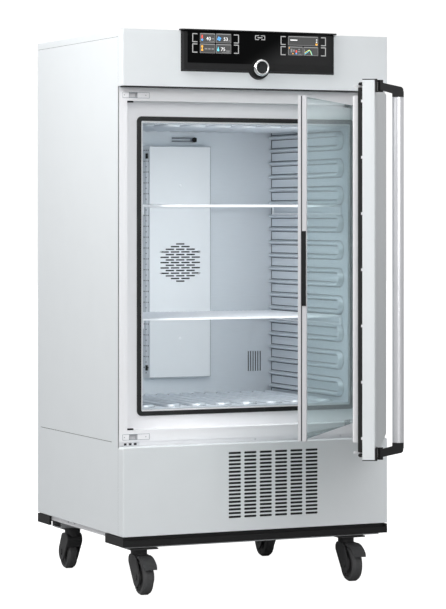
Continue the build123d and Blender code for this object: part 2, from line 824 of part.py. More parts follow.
def handle_arms():
    """Two sloping arms that turn on the mounts and hold the tube's ends."""
    px, py = handle_pivot()
    tube_x, tube_y = handle_tube_place()
    outer_y = tube_y - handle_tube_radius
    arms = []
    for low, high, sign in handle_ends():
        start, end = handle_knuckle_z(low, high, sign)
        root, tip = (end, start) if sign > 0 else (start, end)
        cap = (high if sign > 0 else low) - sign * handle_arm_drop
        inner_y = tube_y + handle_tube_radius
        clear_y = py - handle_knuckle_radius - 1
        corner = handle_arm_corner
        slope_z = root - sign * handle_arm_slope_drop
        points = [
            (py, root), (outer_y + corner + 1.5, slope_z), (outer_y + 1.5, slope_z - sign * corner),
            (outer_y, cap), (inner_y, cap), (inner_y, cap + sign * handle_socket_height), (clear_y, tip), (py, tip),
        ]
        outline = make_face(Plane.YZ * Polyline(*points, close=True))
        arm = Pos(px - handle_arm_width / 2, 0, 0) * extrude(outline, amount=handle_arm_width, dir=(1, 0, 0))
        socket = rod((tube_x, tube_y, cap), (tube_x, tube_y, cap + sign * 14), handle_tube_radius)
        knuckle = rod((px, py, start), (px, py, end), handle_knuckle_radius)
        bore = rod((px, py, low), (px, py, high), handle_pin_radius + shaft_clearance)
        arms.append(joined([arm, socket, knuckle]) - bore)
    return Compound(arms)


def handle_tube_place():
    return -door_half + handle_tube_inset, door_front_y - handle_tube_height


def handle_tube():
    x, y = handle_tube_place()
    z = (door_bottom + handle_arm_drop + seat, door_top - handle_arm_drop - seat)
    outer = rod((x, y, z[0]), (x, y, z[1]), handle_tube_radius)
    return outer - rod((x, y, z[0] - 1), (x, y, z[1] + 1), handle_tube_radius - handle_tube_wall)


def latch_spindle_place():
    return -door_half + latch_inset, door_front_y + latch_spindle_inset


def latch_fingers():
    """Two fingers on upright spindles that hook behind the strike plates."""
    x, y = latch_spindle_place()
    fingers = []
    for end, sign in ((door_top, 1), (door_bottom, -1)):
        z = end - sign * latch_from_end
        tip = door_back_y + latch_finger_reach
        half = latch_finger_width / 2
        finger = block((x - half, x + half), (y, tip), (z - latch_finger_height / 2, z + latch_finger_height / 2))
        finger = fillet(finger.edges().filter_by(Axis.Z).group_by(Axis.Y)[-1], 3)
        far = end - sign * (casing_sheet + seat)
        spindle = rod((x, y, far), (x, y, z - sign * 10), latch_spindle_radius)
        fingers.append(finger + spindle)
    return Compound(fingers)


def door_hinge_brackets():
    """Angle brackets on the frame, above and below the door, each with a pivot pin."""
    x, y = door_hinge
    inward, outward = door_bracket_reach
    brackets = []
    for end, sign in ((door_top, 1), (door_bottom, -1)):
        z = sorted((end + sign * door_bracket_gap, end + sign * (door_bracket_gap + door_bracket_plate)))
        plate = block((x - inward, x + outward), (y - outward, frame_y - seat), z)
        plate = chamfer(plate.edges().filter_by(Axis.Z).group_by(Axis.Y)[0], 6)
        leg_z = (z[0], z[1] + 1) if sign > 0 else (z[0] - 1, z[1])
        leg = block((x - door_bracket_leg, x + outward), (frame_y - seat - 3, frame_y - seat), leg_z)
        pin = rod((x, y, end + sign * (door_bracket_gap + 1)), (x, y, end - sign * door_pin_length), door_pin_radius)
        brackets.append(joined([plate, leg, pin]))
    return Compound(brackets)


# Glass door

def open_glass(shape):
    return shape.rotate(Axis((*glass_hinge, 0), (0, 0, 1)), glass_open_angle)


def glass_profile_x():
    return -glass_half, -glass_half + glass_profile_width


def glass_pane():
    x = (glass_profile_x()[1] - 6, glass_hinge[0] - glass_hinge_inset + 2)
    return block(x, (glass_inner_y - glass_thickness, glass_inner_y), (glass_bottom, glass_top))


def glass_fittings():
    """Upright edge profile on the closing side and two pivot shoes on the hinge side."""
    z = (glass_bottom, glass_top)
    x = glass_profile_x()
    profile = block(x, (glass_outer_y, glass_inner_y), z)
    profile = fillet(profile.edges().filter_by(Axis.Z).group_by(Axis.Y)[0], 2)
    pane_slot = block(
        (x[1] - 6 - seat, x[1] + 1), (glass_inner_y - glass_thickness - seat, glass_inner_y + 1),
        (z[0] - 1, z[1] + 1),
    )
    groove_y = glass_inner_y - glass_groove_inset - glass_groove_width
    groove = block((x[0] - 1, x[0] + glass_groove_depth), (groove_y, groove_y + glass_groove_width), (z[0] - 1, z[1] + 1))
    wall = glass_groove_depth
    hollow = block((x[0] + wall, x[1] - wall), (glass_outer_y + wall, groove_y - wall), (z[0] - 1, z[1] + 1))
    pieces = [profile - pane_slot - groove - hollow]
    px, py = glass_hinge
    pane_edge = px - glass_hinge_inset + 2
    for low, high, sign in ((glass_top - glass_shoe_height, glass_top, 1), (glass_bottom, glass_bottom + glass_shoe_height, -1)):
        cheek = block((px - glass_shoe_width, px + 7.5), (py - 3, glass_inner_y - glass_thickness - seat), (low, high))
        back = block((pane_edge + seat, px + 7.5), (py - 3, glass_inner_y), (low, high))
        end = high if sign > 0 else low
        bore = rod((px, py, end + sign), (px, py, end - sign * (glass_pin_length + 1)), glass_pin_radius + shaft_clearance)
        pieces.append(cheek + back + rod((px, py, low), (px, py, high), 7.5) - bore)
    return Compound(pieces)


def glass_grip():
    """Grip strip on the outer half of the edge profile."""
    x = glass_profile_x()[0]
    y = (glass_outer_y + 0.5, glass_outer_y + 0.5 + grip_width)
    mid = (glass_bottom + glass_top) / 2
    grip = block((x - grip_thickness, x), y, (mid - grip_length / 2, mid + grip_length / 2))
    return fillet(grip.edges().group_by(Axis.X)[0], 1.2)


# Shelves

def bar(start, end, sides, radius, turn=0.0):
    """A straight bar of many-sided section from one point to another."""
    line = Vector(*end) - Vector(*start)
    plane = Plane(origin=start, z_dir=line.normalized())
    return extrude(plane * Rot(0, 0, turn) * RegularPolygon(radius, sides), amount=line.length)


def wire_shelf(rib_number):
    """Wire grid with a rim that bends down to side wires resting on a rib."""
    half = chamber_half - shelf_side_gap - shelf_rim_radius
    r = shelf_rim_radius
    front = collar_y + shelf_front_gap + r
    back = chamber_back_y - duct_standout - seat - r
    rib_z = chamber_mid_z + (rib_number - side_loop_count + 0.5) * rib_pitch
    taper = math.radians(rib_taper)
    rib_half = rib_width / 2 - (chamber_half - half) * math.tan(taper)
    low = rib_z + rib_half + (r + seat) / math.cos(taper)
    high = low + shelf_drop
    pieces = []
    for side in (-1, 1):
        x = side * half
        pieces.append(bar((x, front - r, low), (x, back + r, low), 8, r, 22.5))
        for y in (front, (front + back) / 2, back):
            pieces.append(bar((x, y, low), (x, y, high + r / 2), 8, r, 22.5))
    for y in (front, (front + back) / 2, back):
        pieces.append(bar((-half - r, y, high), (half + r, y, high), 8, r, 22.5))
    count = int((2 * half) // shelf_wire_pitch)
    start = -(count - 1) * shelf_wire_pitch / 2
    for number in range(count):
        x = start + number * shelf_wire_pitch
        z = high + r
        pieces.append(bar((x, front, z), (x, back, z), 6, shelf_wire_radius))
    return pieces[0].fuse(*pieces[1:])


# Control cockpit

def cockpit_housing():
    """Tapered housing with the round boss of the knob and the thin visor on top."""
    bottom, top = cabinet_top - cockpit_height, cabinet_top + 1
    height = top - bottom
    plane = Plane((0, front_y, (bottom + top) / 2), x_dir=(1, 0, 0), z_dir=(0, -1, 0))
    body = extrude(plane * Rectangle(cockpit_width, height), amount=cockpit_depth, taper=cockpit_taper)
    boss_plane = Plane((0, front_y, knob_z), x_dir=(1, 0, 0), z_dir=(0, -1, 0))
    boss = extrude(boss_plane * Circle(knob_boss_radius + 2), amount=cockpit_depth, taper=10)
    visor = block(
        (-visor_width / 2, visor_width / 2), (front_y - visor_depth, front_y + 2),
        (cabinet_top + seat, cabinet_top + visor_thickness),
    )
    visor = chamfer(visor.edges().filter_by(Axis.Z).group_by(Axis.Y)[0], 6)
    seat_z = (cabinet_top - cockpit_glass_height, cabinet_top - cockpit_glass_top_inset)
    half = cockpit_glass_width / 2 + seat
    pocket = block((-half, half), (front_y - cockpit_depth - 1, front_y - cockpit_depth + 0.8), seat_z)
    shaft = rod((0, front_y - 60, knob_z), (0, front_y + 3, knob_z), knob_shaft_radius + shaft_clearance)
    return body + boss + visor - pocket - shaft


def cockpit_glass():
    """Glass front of the cockpit with a round notch for the knob."""
    front = front_y - cockpit_depth - cockpit_glass_thickness / 3
    y = (front, front + cockpit_glass_thickness)
    half = cockpit_glass_width / 2
    z = (cabinet_top - cockpit_glass_height + seat, cabinet_top - cockpit_glass_top_inset - seat)
    pane = block((-half, half), y, z)
    return pane - rod((0, y[0] - 1, knob_z), (0, y[1] + 1, knob_z), knob_radius + 2.5)


def control_knob():
    """Ring with a raised face disc, turned as one piece, with a blind bore for the shaft."""
    r, face, depth = knob_radius, knob_face_radius, knob_depth
    points = [(0, 0), (r, 0), (r - 1.5, depth - 2), (face + 2, depth), (face, depth - 1.5), (0, depth - 1.5)]
    outline = make_face(Plane.XZ * Polyline(*points, close=True))
    ring = revolve(outline, Axis.Z)
    ring = Plane((0, knob_back_y, knob_z), x_dir=(1, 0, 0), z_dir=(0, -1, 0)) * ring
    bore = rod((0, knob_back_y + 1, knob_z), (0, knob_back_y - 8, knob_z), knob_shaft_radius + shaft_clearance)
    return ring - bore


def knob_shaft():
    start = knob_back_y - 7.5
    return rod((0, start, knob_z), (0, start + knob_shaft_length, knob_z), knob_shaft_radius)


# Base

def tray_hole_places():
    middle = (front_y + swivel_front_depth + rear_y - swivel_rear_inset) / 2 + tray_hole_offset
    return middle - tray_hole_pitch / 2, middle + tray_hole_pitch / 2


def base_tray():
    x = (-half_width + tray_side_inset, half_width - tray_side_inset)
    y = (front_y + tray_front_inset, rear_y - tray_rear_inset)
    base = tray(x, y, (tray_bottom, casing_bottom - seat), tray_sheet, "+z")
    holes = []
    for side in (-1, 1):
        for y_hole in tray_hole_places():
            holes.append(rod((side * (x[1] - 5), y_hole, casing_bottom - 5), (side * (x[1] + 5), y_hole, casing_bottom - 5), 3))
    return base.cut(*holes)


def castor_beams():
    """Two box beams under the tray that carry the castors."""
    beams = []
    half = half_width - beam_end_inset
    for swivel_y in (front_y + swivel_front_depth, rear_y - swivel_rear_inset):
        low = max(swivel_y - beam_width / 2, front_y + tray_front_inset + seat)
        y = (low, low + beam_width)
        z = (beam_bottom, beam_bottom + beam_height)
        w = beam_wall
        beams.append(block((-half, half), y, z) - block((-half - 1, half + 1), (y[0] + w, y[1] - w), (z[0] + w, z[1] - w)))
    return Compound(beams)


def plinth():
    """Front bar and four corner blocks that wrap the foot of the tray."""
    bar_top = plinth_bottom + plinth_bar_height
    block_top = plinth_bottom + plinth_block_height
    bar_depth = tray_front_inset - seat
    pieces = []

    def front_run(x):
        lower = block(x, (front_y, front_y + bar_depth), (plinth_bottom, bar_top))
        upper = block(x, (front_y + plinth_setback, front_y + bar_depth), (bar_top - 1, block_top))
        return lower + upper

    edge = half_width - plinth_corner_length
    pieces.append(front_run((-edge + seat, edge - seat)))
    for side in (-1, 1):
        x = sorted((side * half_width, side * edge))
        cheek_x = sorted((side * half_width, side * (half_width - plinth_wall)))
        cheek = block(cheek_x, (front_y + 1, front_y + plinth_front_block_depth), (plinth_bottom, block_top))
        pieces.append(front_run(x) + cheek)
        rear_cheek = block(cheek_x, (rear_y - plinth_rear_block_depth, rear_y), (plinth_bottom, block_top))
        rear_x = sorted((side * half_width, side * (half_width - 60)))
        rear = block(rear_x, (rear_y - tray_rear_inset + seat, rear_y), (plinth_bottom, block_top))
        pieces.append(rear_cheek + rear)
    return Compound(pieces)


# Castors, drawn with the swivel axis on Z and the wheel trailing along -Y

def castor_places():
    front, rear = front_y + swivel_front_depth, rear_y - swivel_rear_inset
    left, right = -half_width + swivel_left_inset, half_width - swivel_right_inset
    return {
        "front_left": (left, front, castor_yaw_front),
        "front_right": (right, front, castor_yaw_front),
        "rear_left": (left, rear, castor_yaw_rear),
        "rear_right": (right, rear, castor_yaw_rear),
    }


def place_castor(shape, place):
    x, y, yaw = place
    return Pos(x, y, 0) * Rot(0, 0, yaw) * shape


def castor_plate():
    plate = block(
        (-castor_plate_width / 2, castor_plate_width / 2), (-castor_plate_length / 2, castor_plate_length / 2),
        (castor_plate_bottom, castor_plate_bottom + castor_plate_thickness),
    )
    return chamfer(plate.edges().filter_by(Axis.Z), 7)


def castor_fork(with_brake):
    """Moulded fork: two cheeks and a crown under the swivel head, with the axle pin."""
    half = wheel_width / 2 + wheel_side_gap
    outer = half + castor_fork_wall
    axle = (-castor_offset, wheel_radius)
    circles = [
        Pos(*axle) * Circle(27), Pos(7, 92) * Circle(17), Pos(-26, 92) * Circle(16),
    ]
    outline = make_hull(Sketch(circles).edges())
    body = extrude(Plane.YZ * outline, amount=outer, both=True)
    body = chamfer(body.faces().sort_by(Axis.X)[-1].edges(), 2)
    wheel_room = extrude(Plane.YZ * Pos(*axle) * Circle(wheel_radius + wheel_side_gap), amount=half, both=True)
    neck = rod((0, 0, 100), (0, 0, castor_neck_top), castor_neck_radius)
    hub_a = rod((half - 2, -castor_offset, wheel_radius), (outer + 2, -castor_offset, wheel_radius), 9)
    hub_b = mirror(hub_a, about=Plane.YZ)
    axle_pin = rod((-half - 1, -castor_offset, wheel_radius), (half + 1, -castor_offset, wheel_radius), castor_axle_radius)
    fork = (body - wheel_room).fuse(neck, hub_a, hub_b, axle_pin)
    if with_brake:
        y, z = pedal_pivot
        room = pedal_hub_radius + 1.2
        fork -= block((-pedal_width / 2 - seat, pedal_width / 2 + seat), (y - 40, y + room), (z - room, z + 20))
        fork += rod((-outer + 0.5, y, z), (outer - 0.5, y, z), pedal_pin_radius)
    return fork


def castor_wheel():
    """Rubber wheel with a rounded tread, a dished side and a bored hub."""
    r, w, bore = wheel_radius, wheel_width / 2, castor_axle_radius + shaft_clearance
    points = [
        (bore, -w), (castor_hub_radius, -w), (castor_hub_radius, -w + 6), (r - 14, -w + 6), (r - 12, -w + 1),
        (r - 4, -w + 2), (r, -w / 2), (r, w / 2), (r - 4, w - 2), (r - 12, w - 1), (r - 14, w - 6),
        (castor_hub_radius, w - 6), (castor_hub_radius, w), (bore, w),
    ]
    outline = make_face(Plane.XZ * Polyline(*points, close=True))
    wheel = revolve(outline, Axis.Z)
    plane = Plane((0, -castor_offset, wheel_radius), x_dir=(0, 1, 0), z_dir=(1, 0, 0))
    return plane * wheel


def brake_pedal():
    """Beak-shaped foot lever above the wheel, turning on a pin in the fork."""
    t = pedal_thickness
    y, z = pedal_pivot
    tip_y, tip_z = pedal_tip
    mid_y, mid_z = (y + tip_y) / 2, (z + tip_z) / 2
    spine = ThreePointArc((y, z + t - 1), (mid_y - 6, mid_z + 10.5), (tip_y, tip_z))
    under = ThreePointArc((tip_y, tip_z), (mid_y - 1, mid_z + 8.7 - t / 2), (y, z - 1))
    close = Line((y, z - 1), (y, z + t - 1))
    outline = make_face(Plane.YZ * Wire([spine, under, close]))
    lever = extrude(outline, amount=pedal_width / 2, both=True)
    lever += rod((-pedal_width / 2, y, z), (pedal_width / 2, y, z), pedal_hub_radius)
    lever -= rod((-pedal_width, y, z), (pedal_width, y, z), pedal_pin_radius + shaft_clearance)
    round_y = tip_y + pedal_width / 4
    reach = y + 2 * pedal_hub_radius - round_y
    plan = Pos(0, reach / 2) * Rectangle(pedal_width, reach) + Circle(pedal_width / 2 - 0.1)
    tip = extrude(Pos(0, round_y, tip_z - 10) * plan, amount=wheel_radius)
    return lever & tip


# Machine room and electronics

def compressor():
    """Domed can on a foot plate with four rubber feet."""
    x, y = -half_width + compressor_side_inset, rear_y - compressor_rear_inset
    floor = machine_floor
    base = floor + compressor_foot_height
    r, h = compressor_radius, compressor_height
    can = rod((x, y, base + 3), (x, y, base + h), r)
    can = chamfer(can.edges().filter_by(GeomType.CIRCLE), 14, 26)
    plate = block((x - 105, x + 105), (y - 60, y + 60), (base, base + 4))
    feet = [rod((x + i * 88, y + j * 45, floor), (x + i * 88, y + j * 45, base + 1), 12) for i in (-1, 1) for j in (-1, 1)]
    pipe = rod((x + r - 5, y, base + 110), (x + r + 24, y, base + 110), 5)
    box = block((x - r - 20, x - r + 16), (y - 25, y + 25), (base + 50, base + 110))
    return plate.fuse(can, pipe, box, *feet)


def condenser_y():
    start = front_y + condenser_front_depth
    return start, start + condenser_depth


def condenser():
    """Finned block behind the grille with the fan shroud, spider and motor on its back."""
    low, high = condenser_centre_x - condenser_width / 2, condenser_centre_x + condenser_width / 2
    y = condenser_y()
    z = (machine_floor, machine_floor + condenser_height)
    wall = condenser_end_wall
    core = block((low, high), y, z) - block((low + wall, high - wall), (y[0] - 1, y[1] + 1), (z[0] + wall, z[1] - wall))
    pitch = (condenser_width - 2 * wall) / (condenser_fins + 1)
    half = condenser_fin_thickness / 2
    fins = [
        block((low + wall + n * pitch - half, low + wall + n * pitch + half), (y[0] + 2, y[1] - 2), (z[0] + 4, z[1] - 4))
        for n in range(1, condenser_fins + 1)
    ]
    mid_z = (z[0] + z[1]) / 2
    cx = condenser_centre_x
    shroud = block((low, high), (y[1], y[1] + shroud_depth), z)
    ring_r = condenser_fan_radius + condenser_fan_gap
    shroud -= rod((cx, y[1] - 1, mid_z), (cx, y[1] + shroud_depth + 1, mid_z), ring_r)
    motor_y = y[1] + shroud_depth + 14
    ring = rod((cx, y[1], mid_z), (cx, motor_y + 4, mid_z), ring_r + 3)
    ring -= rod((cx, y[1] - 1, mid_z), (cx, motor_y + 5, mid_z), ring_r)
    motor = rod((cx, motor_y, mid_z), (cx, motor_y + condenser_motor_length, mid_z), condenser_motor_radius)
    spokes = [
        block((cx - ring_r - 2, cx + ring_r + 2), (motor_y, motor_y + 4), (mid_z - 4, mid_z + 4)),
        block((cx - 4, cx + 4), (motor_y, motor_y + 4), (mid_z - ring_r - 2, mid_z + ring_r + 2)),
    ]
    bore = rod((cx, motor_y - 1, mid_z), (cx, motor_y + 26, mid_z), fan_shaft_radius + shaft_clearance)
    return core.fuse(*fins, shroud, ring, motor, *spokes) - bore


def condenser_fan():
    """Axial fan inside the shroud, with its shaft in the motor."""
    y = condenser_y()[1]
    cx = condenser_centre_x
    z = machine_floor + condenser_height / 2
    back = y + shroud_depth + 11
    hub = rod((cx, back - condenser_fan_depth, z), (cx, back, z), condenser_hub_radius)
    shaft = rod((cx, back, z), (cx, back + 27, z), fan_shaft_radius)
    mid_y, half_w = back - condenser_fan_depth / 2, condenser_blade_width / 2
    blade = block((condenser_hub_radius - 8, condenser_fan_radius), (mid_y - 1, mid_y + 1), (-half_w, half_w))
    blade = blade.rotate(Axis((0, mid_y, 0), (1, 0, 0)), 22)
    limit = rod((0, back - condenser_fan_depth, 0), (0, back, 0), condenser_fan_radius)
    blade = Pos(cx, 0, z) * (blade & limit)
    axis = Axis((cx, 0, z), (0, 1, 0))
    blades = [blade.rotate(axis, 360 * n / condenser_fan_blades) for n in range(condenser_fan_blades)]
    return hub.fuse(shaft, *blades)


def steam_generator():
    """Upright water tank of the humidifier with a heater head and a steam outlet."""
    x, y = half_width - steam_tank_side_inset, rear_y - steam_tank_rear_inset
    floor = machine_floor
    tank = rod((x, y, floor), (x, y, floor + steam_tank_height), steam_tank_radius)
    tank = chamfer(tank.edges().filter_by(GeomType.CIRCLE).group_by(Axis.Z)[-1], 10, 18)
    head = rod((x, y, floor + steam_tank_height - 2), (x, y, floor + steam_tank_height + 20), 26)
    outlet = rod((x, y, floor + steam_tank_height), (x, y, floor + steam_tank_height + 40), 9)
    return joined([tank, head, outlet])


def control_electronics():
    """Board carrier on top of the insulation, with power modules."""
    w, h = 2 * (chamber_half - electronics_side_gap), electronics_height
    floor = chamber_top + insulation_wall + seat
    y = (front_y + electronics_depth, front_y + electronics_depth + electronics_length)
    base = tray((-w / 2, w / 2), y, (floor, floor + h / 2), casing_sheet, "+z")
    share = w / 4
    modules = [
        block((n * share - w / 2 + 15, (n + 1) * share - w / 2 - 15), (y[0] + 40, y[0] + 200), (floor + 1, floor + h - 8 * n))
        for n in range(4)
    ]
    return base.fuse(*modules)


def mains_inlet_place():
    return -half_width + mains_inlet_side_inset, casing_bottom + mains_inlet_height


def mains_inlet():
    """Flanged inlet body in the rear panel; no cord belongs to it."""
    x, z = mains_inlet_place()
    w, d, h = mains_inlet_size
    gap = seat
    body = block((x - w / 2 + gap, x + w / 2 - gap), (rear_y - d, rear_y + 2), (z - h / 2 + gap, z + h / 2 - gap))
    flange = block((x - w / 2 - 6, x + w / 2 + 6), (rear_y, rear_y + 3), (z - h / 2 - 6, z + h / 2 + 6))
    socket = block((x - 13, x + 13), (rear_y - 14, rear_y + 4), (z - 9, z + 9))
    pins = [block((x + n * 7 - 1, x + n * 7 + 1), (rear_y - 15, rear_y - 2), (z - 3, z + 3)) for n in (-1, 0, 1)]
    return joined([body + flange - socket] + pins)


os.makedirs("parts", exist_ok=True)

write("left_side_panel", side_panel("left"))
write("right_side_panel", side_panel("right"))
write("top_cover", top_cover())
write("rear_panel", rear_panel())
write("lower_front_panel", lower_front_panel())
write("control_fascia", control_fascia())
for member, shape in frame_members().items():
    write(member, shape)
write("chamber_gasket", chamber_gasket())
write("strike_plates", strike_plates())
write("recess_fittings", recess_fittings())

write("liner_left_wall", liner_side_wall("left"))
write("liner_right_wall", liner_side_wall("right"))
floor_sheet = liner_floor()
write("liner_floor", floor_sheet)
write("liner_ceiling", mirror(floor_sheet, about=Plane((0, 0, chamber_mid_z), z_dir=(0, 0, 1))))
write("liner_back_wall", liner_back_wall())
write("insulation_jacket", insulation_jacket())
write("air_duct_cover", air_duct_cover())
write("sensor_probes", sensor_probes())
write("chamber_fan", chamber_fan())
write("fan_motor", fan_motor())

write("door_skin", open_door(door_skin()))
write("door_inner_panel", open_door(door_inner_panel()))
write("door_seal", open_door(door_seal()))
write("handle_mounts", open_door(handle_mounts()))
write("handle_arms", open_door(handle_arms()))
write("handle_tube", open_door(handle_tube()))
write("latch_fingers", open_door(latch_fingers()))
write("door_hinge_brackets", door_hinge_brackets())
write("glass_pane", open_glass(glass_pane()))
write("glass_fittings", open_glass(glass_fittings()))
write("glass_grip", open_glass(glass_grip()))

for name, number in zip(("upper_shelf", "lower_shelf"), shelf_rib_numbers):
    write(name, wire_shelf(number))

write("cockpit_housing", cockpit_housing())
write("cockpit_glass", cockpit_glass())
write("control_knob", control_knob())
write("knob_shaft", knob_shaft())
write("control_electronics", control_electronics())

write("base_tray", base_tray())
write("castor_beams", castor_beams())
write("plinth", plinth())
places = castor_places()
write("castor_plates", Compound([place_castor(castor_plate(), (x, y, 0)) for x, y, yaw in places.values()]))
wheel, pedal = castor_wheel(), brake_pedal()
for corner, place in places.items():
    braked = corner.startswith("front")
    write(f"castor_fork_{corner}", place_castor(castor_fork(braked), place))
    write(f"castor_wheel_{corner}", place_castor(wheel, place))
    if braked:
        write(f"brake_pedal_{corner}", place_castor(pedal, place))

write("compressor", compressor())
write("condenser", condenser())
write("condenser_fan", condenser_fan())
write("steam_generator", steam_generator())
write("mains_inlet", mains_inlet())

# Axes that the joints use, printed for the record
print("door hinge", door_hinge, "glass hinge", glass_hinge)
for label, turn, point, hinge in (
    ("handle pivot", door_open_angle, handle_pivot(), door_hinge),
    ("latch spindle", door_open_angle, latch_spindle_place(), door_hinge),
    ("handle tube", door_open_angle, handle_tube_place(), door_hinge),
):
    spot = Vector(*point, 0).sub(Vector(*hinge, 0)).rotate(Axis.Z, turn).add(Vector(*hinge, 0))
    print(label, round(spot.X, 3), round(spot.Y, 3))
print("knob back", knob_back_y)
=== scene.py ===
import math

import bmesh
import bpy
from mathutils import Matrix, Vector


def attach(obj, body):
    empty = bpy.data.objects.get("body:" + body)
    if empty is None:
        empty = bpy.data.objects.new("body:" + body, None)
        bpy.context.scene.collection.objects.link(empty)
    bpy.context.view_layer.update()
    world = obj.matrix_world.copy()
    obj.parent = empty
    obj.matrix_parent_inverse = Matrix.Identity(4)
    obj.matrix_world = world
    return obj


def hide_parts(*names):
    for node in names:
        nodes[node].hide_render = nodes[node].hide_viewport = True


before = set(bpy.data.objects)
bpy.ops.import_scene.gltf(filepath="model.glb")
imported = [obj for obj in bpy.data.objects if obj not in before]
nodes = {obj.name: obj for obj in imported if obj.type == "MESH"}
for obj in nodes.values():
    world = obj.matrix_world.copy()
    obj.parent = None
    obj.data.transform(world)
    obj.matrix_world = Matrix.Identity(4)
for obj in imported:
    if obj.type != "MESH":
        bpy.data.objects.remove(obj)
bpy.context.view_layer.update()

# Pieces are drawn in millimetres: X to the right, depth back from the fascia's front, Z up.
FASCIA_TO_ORIGIN = 335.0
TO_ROW = Matrix.Scale(0.001, 4) @ Matrix.Translation((0, -FASCIA_TO_ORIGIN, 0))
DOOR_HINGE = (394.0, 6.0)
DOOR_ANGLE = 59.7
GLASS_HINGE = (374.0, 60.0)
GLASS_ANGLE = 49.6


def swung(hinge, degrees):
    """Turns a door piece, drawn shut, to where the door stands open at rest."""
    there = Matrix.Translation((hinge[0], hinge[1], 0))
    return there @ Matrix.Rotation(math.radians(degrees), 4, "Z") @ there.inverted()


DOOR_OPEN = swung(DOOR_HINGE, DOOR_ANGLE)
GLASS_OPEN = swung(GLASS_HINGE, GLASS_ANGLE)


# Finishes

def new_group(name, inputs, outputs):
    group = bpy.data.node_groups.new(name, "ShaderNodeTree")
    for label, kind, value in inputs:
        socket = group.interface.new_socket(label, in_out="INPUT", socket_type=kind)
        socket.default_value = value
    for label, kind in outputs:
        group.interface.new_socket(label, in_out="OUTPUT", socket_type=kind)
    return group, group.nodes.new("NodeGroupInput"), group.nodes.new("NodeGroupOutput")


def stretched_noise(group, given, scale_socket):
    """A noise that reads Object coordinates after a Mapping node has stretched them."""
    place = group.nodes.new("ShaderNodeTexCoord")
    stretch = group.nodes.new("ShaderNodeMapping")
    noise = group.nodes.new("ShaderNodeTexNoise")
    noise.inputs["Detail"].default_value = 4.0
    group.links.new(place.outputs["Object"], stretch.inputs["Vector"])
    group.links.new(given.outputs["Stretch"], stretch.inputs["Scale"])
    group.links.new(stretch.outputs["Vector"], noise.inputs["Vector"])
    group.links.new(given.outputs[scale_socket], noise.inputs["Scale"])
    return noise


def mottle_group():
    """Colour and roughness that wander a little over the surface."""
    group, given, out = new_group(
        "mottle",
        [("Colour", "NodeSocketColor", (0.8, 0.8, 0.8, 1)),
         ("Deep Colour", "NodeSocketColor", (0.7, 0.7, 0.7, 1)),
         ("Scale", "NodeSocketFloat", 12.0), ("Stretch", "NodeSocketVector", (1, 1, 1)),
         ("Roughness", "NodeSocketFloat", 0.5), ("Roughness Spread", "NodeSocketFloat", 0.05)],
        [("Colour", "NodeSocketColor"), ("Roughness", "NodeSocketFloat")],
    )
    noise = stretched_noise(group, given, "Scale")
    mix = group.nodes.new("ShaderNodeMix")
    mix.data_type = "RGBA"
    group.links.new(noise.outputs["Fac"], mix.inputs["Factor"])
    group.links.new(given.outputs["Deep Colour"], mix.inputs["A"])
    group.links.new(given.outputs["Colour"], mix.inputs["B"])
    group.links.new(mix.outputs["Result"], out.inputs["Colour"])
    spread = group.nodes.new("ShaderNodeMath")
    spread.operation = "MULTIPLY_ADD"
    group.links.new(noise.outputs["Fac"], spread.inputs[0])
    group.links.new(given.outputs["Roughness Spread"], spread.inputs[1])
    group.links.new(given.outputs["Roughness"], spread.inputs[2])
    group.links.new(spread.outputs[0], out.inputs["Roughness"])
    return group


def grain_group():
    """Fine relief such as the lines of brushed steel or the skin of moulded plastic."""
    group, given, out = new_group(
        "grain",
        [("Fineness", "NodeSocketFloat", 400.0), ("Stretch", "NodeSocketVector", (1, 1, 1)),
         ("Strength", "NodeSocketFloat", 0.1)],
        [("Normal", "NodeSocketVector")],
    )
    noise = stretched_noise(group, given, "Fineness")
    bump = group.nodes.new("ShaderNodeBump")
    bump.inputs["Distance"].default_value = 0.0004
    group.links.new(noise.outputs["Fac"], bump.inputs["Height"])
    group.links.new(given.outputs["Strength"], bump.inputs["Strength"])
    group.links.new(bump.outputs["Normal"], out.inputs["Normal"])
    return group


MOTTLE = mottle_group()
GRAIN = grain_group()


def finish(name, colour, deep, roughness, metallic=0.0, spread=0.06, scale=14.0, stretch=(1, 1, 1),
           fineness=500.0, relief=0.08, **sockets):
    """A material whose colour, roughness and relief come from the two groups above."""
    material = bpy.data.materials.new(name)
    material.use_nodes = True
    tree = material.node_tree
    shader = tree.nodes["Principled BSDF"]
    mottle = tree.nodes.new("ShaderNodeGroup")
    mottle.node_tree = MOTTLE
    mottle.inputs["Colour"].default_value = (*colour, 1)
    mottle.inputs["Deep Colour"].default_value = (*deep, 1)
    mottle.inputs["Scale"].default_value = scale
    mottle.inputs["Stretch"].default_value = stretch
    mottle.inputs["Roughness"].default_value = roughness
    mottle.inputs["Roughness Spread"].default_value = spread
    tree.links.new(mottle.outputs["Colour"], shader.inputs["Base Color"])
    tree.links.new(mottle.outputs["Roughness"], shader.inputs["Roughness"])
    grain = tree.nodes.new("ShaderNodeGroup")
    grain.node_tree = GRAIN
    grain.inputs["Fineness"].default_value = fineness
    grain.inputs["Stretch"].default_value = stretch
    grain.inputs["Strength"].default_value = relief
    tree.links.new(grain.outputs["Normal"], shader.inputs["Normal"])
    shader.inputs["Metallic"].default_value = metallic
    for socket, value in sockets.items():
        shader.inputs[socket.replace("_", " ")].default_value = value
    return material


def lit(name, colour, strength):
    """A display colour that shines by itself."""
    material = finish(name, colour, [c * 0.9 for c in colour], 0.4, relief=0.0)
    shader = material.node_tree.nodes["Principled BSDF"]
    shader.inputs["Emission Color"].default_value = (*colour, 1)
    shader.inputs["Emission Strength"].default_value = strength
    return material


